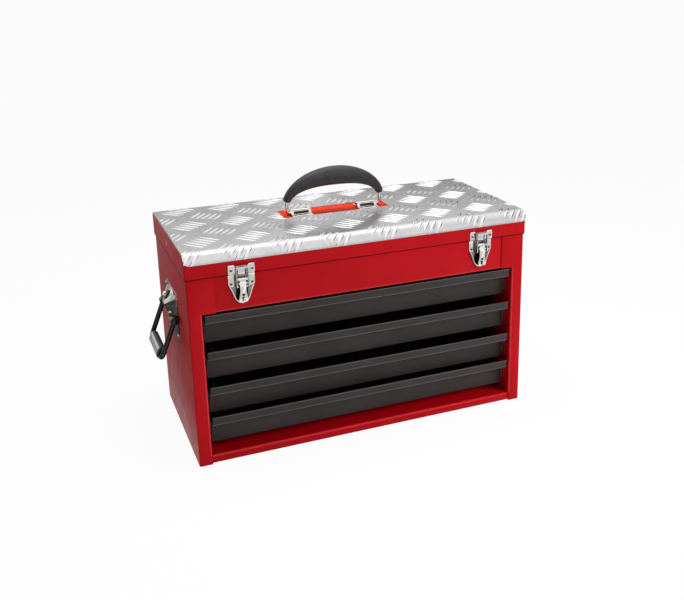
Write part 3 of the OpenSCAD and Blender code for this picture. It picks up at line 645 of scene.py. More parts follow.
@dataclass
class TreadPlate:
    """The aluminium plate on the lid: bent down at front and back, with groups of five raised bars.

    Places on it are given on the flattened sheet: u across the box, v along the sheet, 0 at its middle.

    Attributes:
        bend: Outer radius of both bends.
        thickness: Thickness of the sheet.
        corner: Radius of the aprons' corners.
        window: Left, front, right and back edge of the opening round the handle.
        bend_steps: Number of steps in a bend.
        bar_length: Length of a bar.
        bar_width: Width of a bar at its middle.
        bar_height: Height of a bar.
        bar_sunk: How far a bar's rim lies under the sheet's face.
        bar_steps: Number of steps along a bar and across it.
        bar_angles: Directions of the two kinds of group, in degrees.
        tip: Half of a bar's width at its tips.
        dome: The power that rounds a bar across: larger is flatter.
        fall: The powers that let a bar's height fall off towards its tips.
        pitch: Distance between the bars of a group.
        group: The bars of a group, counted from its middle.
        cell: Size of the pattern's cell, which has one group of each kind.
        first: Middle of the first group of the cell 0, 0.
        columns: The pattern's columns.
        rows: The pattern's rows.
        window_gap: How far the bars stay off the window.
        edge_gap: How far they stay off the sheet's sides, and off the aprons' lower edges.
        half_width: Half of the sheet's width.
        flat_half: Where the bend starts.
        apron: Height of the aprons' lower edges.
        top: Height of the sheet's top face.
    """

    bend: float = 15.25
    thickness: float = 2.2
    corner: float = 8.5
    window: tuple[float, float, float, float] = (-85.5, -8.0, 85.5, 36.0)
    bend_steps: int = 14
    bar_length: float = 38.0
    bar_width: float = 4.8
    bar_height: float = 1.0
    bar_sunk: float = 0.08
    bar_steps: tuple[int, int] = (18, 8)
    bar_angles: tuple[float, float] = (-48.0, 52.0)
    tip: float = 0.02
    dome: float = 2.4
    fall: tuple[float, float] = (3.0, 0.8)
    pitch: float = 9.2
    group: range = range(-2, 3)
    cell: tuple[float, float] = (72.0, 88.0)
    first: tuple[float, float] = (-226.0, -76.0)
    columns: range = range(-2, 12)
    rows: range = range(-2, 5)
    window_gap: float = 1.2
    edge_gap: tuple[float, float] = (0.4, 0.8)
    half_width: float = field(init=False)
    flat_half: float = field(init=False)
    apron: float = field(init=False)
    top: float = field(init=False)

    def __post_init__(self) -> None:
        """Takes the sheet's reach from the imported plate, and its height from the lid below."""
        plate = box_of("tread_plate")
        self.half_width = plate.high[0]
        self.flat_half = plate.high[1] - self.bend
        self.apron = plate.low[2]
        self.top = box_of("lid_shell").high[2] + self.thickness

    def on_surface(self, u: float, v: float, height: float) -> Point:
        """Maps a place on the flattened sheet onto the bent one.

        Args:
            u: Place across the box.
            v: Place along the sheet.
            height: Height over the outer face.

        Returns:
            The point in metres.
        """
        side = 1 if v >= 0 else -1
        over = abs(v) - self.flat_half
        if over <= 0:
            return (u * MM, v * MM, (self.top + height) * MM)
        turn = min(over / self.bend, math.pi / 2)
        radius = self.bend + height
        y = self.flat_half + radius * math.sin(turn)
        z = self.top - self.bend + radius * math.cos(turn)
        z -= max(0.0, over - self.bend * math.pi / 2)
        return (u * MM, side * y * MM, z * MM)

    @property
    def bend_end(self) -> float:
        """Where the bend ends, along the flattened sheet."""
        return self.flat_half + self.bend * math.pi / 2

    @property
    def half_length(self) -> float:
        """Half of the flattened sheet's length."""
        return self.bend_end + (self.top - self.bend - self.apron)

    def edge_at(self, v: float) -> float:
        """Half width of the sheet at a place along it, less at the apron's rounded corners."""
        z = self.on_surface(0, v, 0)[2] / MM
        low = self.apron + self.corner - z
        if low <= 0:
            return self.half_width
        return self.half_width - self.corner + math.sqrt(max(0.0, self.corner ** 2 - low ** 2))

    def stations(self) -> list[float]:
        """Places along the sheet where its section changes: aprons, bends and the window's edges."""
        tail = [self.bend_end + (self.half_length - self.bend_end) * share for share in (0.5, 1)]
        steps = range(self.bend_steps + 1)
        back = [self.flat_half + self.bend * math.pi / 2 * k / self.bend_steps for k in steps] + tail
        return [-v for v in reversed(back)] + [self.window[1], self.window[3]] + back

    def build_sheet(self) -> None:
        """Builds the bent sheet with its window and rounded apron corners."""
        mesh = bmesh.new()
        outer, inner = [], []
        stations = self.stations()
        for v in stations:
            edge = self.edge_at(v)
            across = (-edge, self.window[0], self.window[2], edge)
            outer.append([mesh.verts.new(self.on_surface(u, v, 0)) for u in across])
            inner.append([mesh.verts.new(self.on_surface(u, v, -self.thickness)) for u in across])
        hole = stations.index(self.window[1])
        last = len(stations) - 1
        for i in range(last):
            for k in range(3):
                if i == hole and k == 1:
                    continue
                mesh.faces.new((outer[i][k], outer[i][k + 1], outer[i + 1][k + 1], outer[i + 1][k]))
                mesh.faces.new((inner[i][k], inner[i + 1][k], inner[i + 1][k + 1], inner[i][k + 1]))
            for k in (0, 3):
                mesh.faces.new((outer[i][k], outer[i + 1][k], inner[i + 1][k], inner[i][k]))
        for k in (0, 1, 2):
            for i in (0, last):
                mesh.faces.new((outer[i][k], outer[i][k + 1], inner[i][k + 1], inner[i][k]))
        for k in (1, 2):
            mesh.faces.new((outer[hole][k], outer[hole + 1][k], inner[hole + 1][k], inner[hole][k]))
        for i in (hole, hole + 1):
            mesh.faces.new((outer[i][1], outer[i][2], inner[i][2], inner[i][1]))
        bmesh.ops.recalc_face_normals(mesh, faces=mesh.faces)
        make_piece("tread_plate_sheet", mesh, [Finish.ALUMINIUM], "lid", "tread_plate")

    def bar_mesh(self, u: float, v: float, angle: float) -> bmesh.types.BMesh:
        """One bar on the flattened sheet: a lens from above, domed across and falling off to both tips.

        Args:
            u: Place of its middle across the box.
            v: Place of its middle along the sheet.
            angle: Its direction in degrees.

        Returns:
            The mesh, with u, v and height as its coordinates.
        """
        mesh = bmesh.new()
        along, across = self.bar_steps
        cos, sin = math.cos(math.radians(angle)), math.sin(math.radians(angle))
        rows = []
        for i in range(along + 1):
            s = -1 + 2 * i / along
            half = max(self.tip, self.bar_width / 2 * (1 - s * s))
            ridge = self.bar_height * (1 - abs(s) ** self.fall[0]) ** self.fall[1]
            row = []
            for k in range(across + 1):
                t = -1 + 2 * k / across
                rise = ridge * (1 - abs(t) ** self.dome)
                x, y = s * self.bar_length / 2, t * half
                row.append((u + x * cos - y * sin, v + x * sin + y * cos, rise - self.bar_sunk))
            rows.append(row)
        add_grid(mesh, rows)
        return mesh

    def kept_parts(self, bar: bmesh.types.BMesh) -> list[bmesh.types.BMesh]:
        """Cuts a bar at the sheet's edges and at the window.

        Args:
            bar: The bar on the flattened sheet; it is freed.

        Returns:
            What is left of it, in none, one or more parts.
        """
        x0, y0, x1, y1 = self.window
        gap = self.window_gap
        limit_u, limit_v = self.half_width - self.edge_gap[0], self.half_length - self.edge_gap[1]
        frame = [((-1, 0), limit_u), ((1, 0), limit_u), ((0, -1), limit_v), ((0, 1), limit_v)]
        inside_x = [((-1, 0), -(x0 - gap)), ((1, 0), x1 + gap)]
        regions = [
            [((1, 0), x0 - gap)],
            [((-1, 0), -(x1 + gap))],
            inside_x + [((0, 1), y0 - gap)],
            inside_x + [((0, -1), -(y1 + gap))],
        ]
        parts = []
        for region in regions:
            part = bar.copy()
            for (nx, ny), reach in frame + region:
                geometry = part.verts[:] + part.edges[:] + part.faces[:]
                if not geometry:
                    break
                bmesh.ops.bisect_plane(part, geom=geometry, plane_co=(nx * reach, ny * reach, 0),
                                       plane_no=(nx, ny, 0), clear_outer=True)
            if part.faces:
                parts.append(part)
            else:
                part.free()
        bar.free()
        return parts

    def build_bars(self) -> None:
        """Builds all bars, laid over the flat and over both bends: each cell has a group of each angle."""
        whole = bmesh.new()
        reach = self.bar_length
        for column in self.columns:
            for row in self.rows:
                for turned, angle in enumerate(self.bar_angles):
                    u = self.first[0] + column * self.cell[0] + turned * self.cell[0] / 2
                    v = self.first[1] + row * self.cell[1] + turned * self.cell[1] / 2
                    if abs(u) <= self.half_width + reach and abs(v) <= self.half_length + reach:
                        self.add_group(whole, u, v, angle)
        bmesh.ops.recalc_face_normals(whole, faces=whole.faces)
        make_piece("tread_plate_bars", whole, [Finish.ROLLED], "lid", shading=Shading.SMOOTH)

    def add_group(self, whole: bmesh.types.BMesh, u: float, v: float, angle: float) -> None:
        """Adds a group of bars side by side.

        Args:
            whole: The mesh of all bars.
            u: Place of the group's middle across the box.
            v: Place of its middle along the sheet.
            angle: The bars' direction in degrees.
        """
        lean = math.radians(angle)
        for k in self.group:
            shift = k * self.pitch
            self.add_bar(whole, u - shift * math.sin(lean), v + shift * math.cos(lean), angle)

    def add_bar(self, whole: bmesh.types.BMesh, u: float, v: float, angle: float) -> None:
        """Adds one bar, cut and bent, to the mesh of all bars.

        Args:
            whole: The mesh of all bars.
            u: Place of the bar's middle across the box.
            v: Place of its middle along the sheet.
            angle: Its direction in degrees.
        """
        for part in self.kept_parts(self.bar_mesh(u, v, angle)):
            made = {}
            for vert in part.verts:
                made[vert] = whole.verts.new(self.on_surface(*vert.co))
            for face in part.faces:
                whole.faces.new([made[vert] for vert in face.verts])
            part.free()

    def build(self) -> None:
        """Builds the plate."""
        self.build_sheet()
        self.build_bars()


# ------------------------------------------------------------------ top handle


@dataclass
class TopHandle:
    """The folding handle: a bent bright rod with a soft grip, standing a little forward.

    Its own frame has its origin on the pivot, in the box's middle, with the handle upright.

    Attributes:
        lean: How far the handle leans to the front at rest, in degrees.
        reach: Half of the grip's width along its outer and its inner edge.
        rise: Height of both edges over the grip's base.
        base: Height of the grip's base over the pivot.
        fullness: The power that makes the inner edge fuller than an ellipse: 1 is an ellipse.
        widths: The grip's width from front to back at its ends and in its middle.
        start: Where the grip starts, in degrees round it.
        end_steps: Number of steps over which its ends get slimmer.
        end_slimmer: How much slimmer they get.
        grip_sides: Number of sides of the grip.
        grip_steps: Number of steps along it.
        rod: Radius of the rod.
        rod_sides: Number of sides of the rod.
        leg: Distance of the rod's legs from the box's middle.
        elbow: Radius of its elbows.
        elbow_steps: Number of steps in an elbow.
        leg_top: Height of a leg's straight part.
        tip: Place of the rod's end, hidden in the grip.
        stub: Distance of its other end, in the bracket, from the box's middle.
        bracket_ease: Width of the rounding on a bracket's edges.
        flange: Height where a bracket's shaded flank starts.
        shoulder: Height where it ends.
        rim: Width of the bright rim at both sides of the flank.
        pivot: The pivot's place.
    """

    lean: float = 8.0
    reach: tuple[float, float] = (84.0, 72.0)
    rise: tuple[float, float] = (60.3, 30.5)
    base: float = 8.65
    fullness: float = 0.8
    widths: tuple[float, float] = (13.0, 25.0)
    start: float = 12.0
    end_steps: float = 1.5
    end_slimmer: float = 0.16
    grip_sides: int = 44
    grip_steps: int = 96
    rod: float = 3.25
    rod_sides: int = 28
    leg: float = 76.5
    elbow: float = 6.0
    elbow_steps: int = 10
    leg_top: float = 19.3
    tip: tuple[float, float] = (75.0, 26.3)
    stub: float = 39.7
    bracket_ease: float = 0.3
    flange: float = 315.8
    shoulder: float = 319.8
    rim: float = 4.0
    pivot: Point = field(init=False)

    def __post_init__(self) -> None:
        """Takes the pivot from the handle's joint."""
        self.pivot = PIVOTS["top_handle_fold"]

    def place(self, point: Vector) -> Vector:
        """Moves a point from the handle's own frame, in millimetres, to the box's, in metres."""
        turned = Matrix.Rotation(math.radians(self.lean), 3, "X") @ point
        return (turned + Vector(self.pivot)) * MM

    def edges_at(self, angle: float) -> tuple[Vector, Vector]:
        """The grip's inner and outer edge: half an ellipse outside, a fuller curve inside.

        Args:
            angle: Angle round the grip, in degrees.

        Returns:
            Both points, in the handle's own frame.
        """
        c, s = math.cos(math.radians(angle)), math.sin(math.radians(angle))
        fuller = math.copysign(abs(c) ** self.fullness, c)
        inner = Vector((self.reach[1] * fuller, 0, self.base + self.rise[1] * s ** self.fullness))
        outer = Vector((self.reach[0] * c, 0, self.base + self.rise[0] * s))
        return inner, outer

    def grip_ring(self, step: int) -> list[Point]:
        """The grip's section at one of its steps, slimmer at both ends.

        Args:
            step: The step, 0 at the right end.

        Returns:
            The section's points, in metres.
        """
        angle = self.start + (180 - 2 * self.start) * step / self.grip_steps
        inner, outer = self.edges_at(angle)
        middle = (inner + outer) / 2
        narrow, wide = self.widths[0] / 2, self.widths[1] / 2
        half_width = narrow + (wide - narrow) * math.sin(math.radians(angle)) ** 2
        from_end = min(step, self.grip_steps - step) / self.end_steps
        shrink = 1 - self.end_slimmer * max(0.0, 1 - from_end) ** 2
        across, up = (outer - middle) * shrink, Vector((0, half_width * shrink, 0))
        return [tuple(self.place(Vector(point))) for point in ring_about(middle, across, up, self.grip_sides)]

    def build_grip(self) -> None:
        """Builds the soft grip."""
        mesh = bmesh.new()
        add_grid(mesh, [self.grip_ring(step) for step in range(self.grip_steps + 1)], closed=True)
        bmesh.ops.recalc_face_normals(mesh, faces=mesh.faces)
        make_piece("top_handle_soft_grip", mesh, [Finish.RUBBER], "top_handle",
                   "top_handle_grip", Shading.SMOOTH)

    def build_rod(self) -> None:
        """Builds both visible ends of the rod: pivot, elbow and leg up into the grip."""
        mesh = bmesh.new()
        side_way = Matrix.Rotation(math.radians(self.lean), 3, "X") @ Vector((0, 1, 0))
        for sign in SIDES.values():
            centre = Vector((sign * (self.leg - self.elbow), 0, self.elbow))
            down, out = Vector((0, 0, -self.elbow)), Vector((sign * self.elbow, 0, 0))
            path = [Vector((sign * self.stub, 0, 0))]
            path += quarter(centre, down, out, self.elbow_steps)
            path += [Vector((sign * x, 0, z)) for x, z in ((self.leg, self.leg_top), self.tip)]
            add_tube(mesh, [self.place(point) for point in path], self.rod * MM, self.rod_sides, side_way)
        bmesh.ops.recalc_face_normals(mesh, faces=mesh.faces)
        make_piece("top_handle_bent_rod", mesh, [Finish.CHROME], "top_handle",
                   "top_handle_rod", Shading.SMOOTH)

    def build_brackets(self) -> None:
        """Builds the straps that hold the rod: bright, with painted shade on the front flank between their
        rims.
        """
        for side in SIDES:
            node = f"handle_bracket_{side}"
            low, high = box_of(node).low[0] + self.rim, box_of(node).high[0] - self.rim
            mesh = eased(node, self.bracket_ease)
            split(mesh, ACROSS, low, high)
            split(mesh, UP, self.flange, self.shoulder)
            # Painted shade on the front flank between the rims
            coat(mesh, 1, lambda at, normal: (normal.y < FRONTWARD and self.flange < at.z < self.shoulder
                                              and low < at.x < high))
            make_piece(f"{node}_strap", mesh, [Finish.CHROME, Finish.DARK_PLATE], "lid", node)

    def build(self) -> None:
        """Builds the handle."""
        self.build_grip()
        self.build_rod()
        self.build_brackets()


# ------------------------------------------------------------------ latches


@dataclass
class Latches:
    """Both draw latches: plates with raised rims, levers with their loops, and hollow rivets.

    Distances across are from a latch's middle, and heights from the foot of its base or lever.

    Attributes:
        plate_ease: Width of the rounding on the edges of bases and strikes.
        link_ease: The same for levers and loops.
        ear_in: Where a base's ears start across.
        ear_foot: Height of their lower edges.
        pan_depth: How far the pan's faces may lie before the plate's flat front.
        pan_half: Half of the pan's middle, which gets painted deep shade.
        staple_proud: How far the padlock staple stands before the flat front.
        staple_top: Height under which it ends.
        staple_front: A face of the staple is a flank if its normal's Y is over this.
        strike_arms: Where the loop's arms pass a strike, across.
        strike_flank: A face of the strike is a flank if its normal's Z is over this, up or down.
        loop_front: Where a loop's bright front ends across.
        loop_foot: A face of the loop looks down if its normal's Z is under this.
        knuckle: How far under the pivot a lever's bright knuckle ends.
        hole_height: Height of the hole in a lever's tongue.
        hole_profile: Outline of the hole's dark disc of painted shade.
        rivet_across: Distance of the rivets across.
        rivet_core: Radius of a rivet's hollow, which gets painted shade.
        rivet_profile: Outline of a rivet.
        pivots: Place of each lever's pivot.
        flat: Depth of the bases' flat front, on which their rivets sit.
    """

    plate_ease: float = 0.35
    link_ease: float = 0.25
    ear_in: float = 10.6
    ear_foot: float = 24.5
    pan_depth: float = 0.2
    pan_half: float = 8.4
    staple_proud: float = 3.0
    staple_top: float = 13.0
    staple_front: float = -0.5
    strike_arms: tuple[float, float] = (6.2, 9.9)
    strike_flank: float = 0.8
    loop_front: float = 6.9
    loop_foot: float = -0.9
    knuckle: float = 3.0
    hole_height: float = 10.0
    hole_profile: tuple[tuple[float, float], ...] = ((2.1, -0.2), (2.1, 0.03), (1.98, 0.06), (0.05, 0.06))
    rivet_across: float = 14.7
    rivet_core: float = 1.5
    rivet_profile: tuple[tuple[float, float], ...] = ((2.3, 0.0), (2.3, 0.45), (2.15, 0.85), (1.9, 1.08),
                                                      (1.65, 1.0), (1.5, 0.75), (1.4, 0.2), (0.05, 0.15))
    pivots: dict[str, Point] = field(init=False)
    flat: float = field(init=False)

    def __post_init__(self) -> None:
        """Takes the levers' pivots from their joints, and the bases' flat front from the rivets on it."""
        self.pivots = {side: PIVOTS[f"latch_{side}_lever_turn"] for side in SIDES}
        self.flat = box_of("latch_rivets").high[1]

    def build(self) -> None:
        """Builds both latches and the rivets in their ears."""
        for side, pivot in self.pivots.items():
            self.add_base(side, pivot[0])
            self.add_strike(side, pivot[0])
            self.add_lever(side, pivot)
            self.add_loop(side, pivot[0])
        self.add_rivets("latch_rivets", "cabinet")
        self.add_rivets("strike_rivets", "lid")

    def add_base(self, side: str, middle: float) -> None:
        """Adds a base: bright ears and rim, painted half shade in the pan, painted deep shade behind the
        lever and on the staple's flanks.
        """
        node = f"latch_base_{side}"
        foot = box_of(node).low[2]
        ear_foot, staple_top = foot + self.ear_foot, foot + self.staple_top
        pan, staple = self.flat - self.pan_depth, self.flat - self.staple_proud
        ear, inside = self.ear_in, self.pan_half
        mesh = eased(node, self.plate_ease)
        split(mesh, ACROSS, middle - ear, middle + ear, middle - inside, middle + inside)
        split(mesh, UP, ear_foot)
        # Faces behind the flat front, between the ears and under them, get painted half shade
        coat(mesh, 1, lambda at, normal: at.y > pan and (abs(at.x - middle) < ear or at.z < ear_foot))
        # Painted deep shade in the pan's middle behind the lever, and on the staple's flanks
        coat(mesh, 2, lambda at, normal: at.y > pan and abs(at.x - middle) < inside and at.z < ear_foot)
        coat(mesh, 2, lambda at, normal: at.y < staple and at.z < staple_top and normal.y > self.staple_front)
        make_piece(f"{node}_pressed", mesh, [Finish.CHROME, Finish.DULL_PLATE, Finish.BLACK_PLATE],
                   "cabinet", node)

    def add_strike(self, side: str, middle: float) -> None:
        """Adds a strike: bright, with painted shade where the loop's arms pass and on its upper and lower
        flanks.
        """
        node = f"latch_strike_{side}"
        near, far = self.strike_arms
        mesh = eased(node, self.plate_ease)
        # Painted shade where the loop's arms pass and on the upper and lower flanks
        coat(mesh, 1, lambda at, normal: near < abs(at.x - middle) < far or abs(normal.z) > self.strike_flank)
        make_piece(f"{node}_pressed", mesh, [Finish.CHROME, Finish.DARK_PLATE], "lid", node)

    def add_lever(self, side: str, pivot: Point) -> None:
        """Adds a lever: bright in front and round its pivot, painted deep shade elsewhere, and a dark disc of
        painted shade for its hole.
        """
        node = f"latch_lever_{side}"
        hole = box_of(node).low[2] + self.hole_height
        mesh = eased(node, self.link_ease)
        front = min(corner.co.y for corner in mesh.verts if corner.co.z < hole * MM) / MM
        # The lever's faces below its knuckle that turn away from the front get painted deep shade
        coat(mesh, 1, lambda at, normal: normal.y > FRONTWARD and at.z < pivot[2] - self.knuckle)
        make_piece(f"{node}_pressed", mesh, [Finish.CHROME, Finish.BLACK_PLATE], f"latch_{side}_lever",
                   node)
        # A flat dark disc of painted shade stands for the hole
        disc = bmesh.new()
        add_lathe(disc, self.hole_profile, (pivot[0], front, hole), FORWARD)
        make_piece(f"{node}_hole", disc, [Finish.HOLLOW], f"latch_{side}_lever")

    def add_loop(self, side: str, middle: float) -> None:
        """Adds a loop: bright front, painted shade on its flanks."""
        node = f"latch_loop_{side}"
        mesh = eased(node, self.link_ease)
        # Painted shade on the loop's flanks and lower faces
        coat(mesh, 1, lambda at, normal: abs(at.x - middle) > self.loop_front or normal.z < self.loop_foot)
        make_piece(f"{node}_bent", mesh, [Finish.CHROME, Finish.DARK_PLATE], f"latch_{side}_loop",
                   node)

    def add_rivets(self, node: str, body: str) -> None:
        """Adds the four hollow rivets of one row, with painted shade in their hollows.

        Args:
            node: The node that they replace.
            body: The body that they ride on.
        """
        packed = box_of(node)
        mesh = bmesh.new()
        for pivot in self.pivots.values():
            for sign in SIDES.values():
                at = (pivot[0] + sign * self.rivet_across, packed.high[1], packed.middle(2))
                # The faces inside the hollow get painted shade
                add_lathe(mesh, self.rivet_profile, at, FORWARD, inner=self.rivet_core)
        make_piece(f"{node}_hollow", mesh, [Finish.CHROME, Finish.HOLLOW], body, node,
                   Shading.SMOOTH)


# ------------------------------------------------------------------ side handles


@dataclass
class SideHandles:
    """Both side handles: pressed brackets with a hood, capped rivets, and dark grip sleeves with a painted
    highlight on their outer side.

    Attributes:
        ease: Width of the rounding on edges.
        bracket_sharp: Smallest angle of a bracket's edge that is rounded, in degrees.
        proud: How far the ears stand out of the wall.
        ears: Distance of the ears from the bracket's middle.
        ears_top: Height under which they end.
        outward: A facet belongs to the hood if its normal's outward part is over this.
        facet: Area that a facet has at least, in square millimetres.
        facet_low: A facet is a lower one if its normal's Z is under this.
        rest: How far the handle is swung out at rest, in degrees.
        sleeve_front: A sleeve's face is on its outer side if its normal's part that way is at least this.
        hood: X and Z of the middle of the hood's upper slope.
        slope: How far the slope looks up, in degrees.
        cap: Outline of the washer and the head on it.
        cap_head: Radius of the head.
        cap_sides: Number of sides of both.
        wall: Distance of the cabinet's outer wall from its middle.
    """

    ease: float = 0.8
    bracket_sharp: float = 12
    proud: float = 2.2
    ears: float = 24.0
    ears_top: float = 204.0
    outward: float = 0.25
    facet: float = 40.0
    facet_low: float = 0.12
    rest: float = 22.0
    sleeve_front: float = 0.8
    hood: tuple[float, float] = (267.75, 220.0)
    slope: float = 30.6
    cap: tuple[tuple[float, float], ...] = ((7.2, 0.0), (7.3, 1.4), (6.8, 2.4), (4.1, 2.6), (4.0, 4.2),
                                            (2.9, 5.6), (0.05, 6.2))
    cap_head: float = 4.1
    cap_sides: int = 28
    wall: float = field(init=False)

    def __post_init__(self) -> None:
        """Takes the cabinet's outer wall from the bracket on it."""
        self.wall = box_of("side_bracket_right").low[0]

    def build(self) -> None:
        """Builds both handles."""
        for side, sign in SIDES.items():
            self.add_bracket(side, sign)
            self.add_sleeve(side, sign)
        self.add_caps()

    def add_bracket(self, side: str, sign: int) -> None:
        """Adds a bracket: black ears, painted shade on the wall plate and on the hood's lower facets, the
        rest bright.
        """
        node = f"side_bracket_{side}"
        mesh = eased(node, self.ease, 1, self.bracket_sharp)
        for face in mesh.faces:
            middle = face.calc_center_median() / MM
            out = face.normal.x * sign
            is_proud = abs(middle.x) > self.wall + self.proud
            is_large = face.calc_area() > self.facet * MM * MM
            if is_proud and abs(middle.y) > self.ears and middle.z < self.ears_top:
                face.material_index = 2
            # The wall plate's outward faces get painted shade
            elif out > ALONG_AXIS:
                face.material_index = 3
            # The hood's large lower facets get painted shade
            elif out > self.outward and is_large and face.normal.z < self.facet_low:
                face.material_index = 1
        finishes = [Finish.CHROME, Finish.DARK_PLATE, Finish.WIRE, Finish.BLACK_WALL]
        make_piece(f"{node}_pressed", mesh, finishes, "cabinet", node)

    def add_sleeve(self, side: str, sign: int) -> None:
        """Adds a sleeve: its flat outer side gets a painted highlight, the rest is dark."""
        node = f"side_grip_{side}"
        turn = math.radians(self.rest)
        out = Vector((sign * math.cos(turn), 0, math.sin(turn)))
        mesh = eased(node, self.ease, 3)
        # All but the outer side is dark; the outer side keeps the painted highlight
        coat(mesh, 1, lambda at, normal: normal.dot(out) < self.sleeve_front)
        make_piece(f"{node}_sleeve", mesh, [Finish.SLEEVE, Finish.SLEEVE_DARK], f"side_handle_{side}",
                   node)

    def add_caps(self) -> None:
        """Adds the black washer and bright head on the slope of each hood."""
        mesh = bmesh.new()
        slope = math.radians(self.slope)
        for sign in SIDES.values():
            at, axis = (sign * self.hood[0], 0, self.hood[1]), (sign * math.cos(slope), 0, math.sin(slope))
            add_lathe(mesh, self.cap, at, axis, self.cap_sides, self.cap_head)
        make_piece("hood_rivets_capped", mesh, [Finish.WIRE, Finish.CHROME], "cabinet",
                   "hood_rivets")


# ------------------------------------------------------------------ studio


@dataclass(frozen=True)
class Lamp:
    """A soft lamp: its place, the point it faces and its size in metres, and its power in watts."""

    name: str
    at: Point
    aim: Point
    size: tuple[float, float]
    watts: float
    mirrored: bool = False


@dataclass(frozen=True)
class Card:
    """A grey card that only shows in mirrors: place, aim and size in metres, and its tone, 1 for white."""

    name: str
    at: Point
    aim: Point
    size: tuple[float, float]
    tone: float


def add_rectangle(name: str, size: tuple[float, float]
                  ) -> tuple[bpy.types.Object, bpy.types.NodeTree, Socket]:
    """Adds a level rectangle about the origin, with a blank material.

    Args:
        name: Name of the object and the material.
        size: Its sides along X and Y, in metres.

    Returns:
        The rectangle, the material's node tree, and its output's surface socket.
    """
    mesh = bmesh.new()
    bmesh.ops.create_grid(mesh, x_segments=1, y_segments=1, size=0.5)
    bmesh.ops.scale(mesh, vec=(*size, 1), verts=mesh.verts)
    rectangle = add_object(name, mesh)
    material, tree, surface = blank_material(name)
    rectangle.data.materials.append(material)
    return rectangle, tree, surface


def face_towards(thing: bpy.types.Object, at: Point, aim: Point) -> None:
    """Puts a lamp or a card at a place and turns its -Z axis to a point."""
    thing.location = at
    thing.rotation_euler = (Vector(aim) - Vector(at)).to_track_quat("-Z", "Y").to_euler()


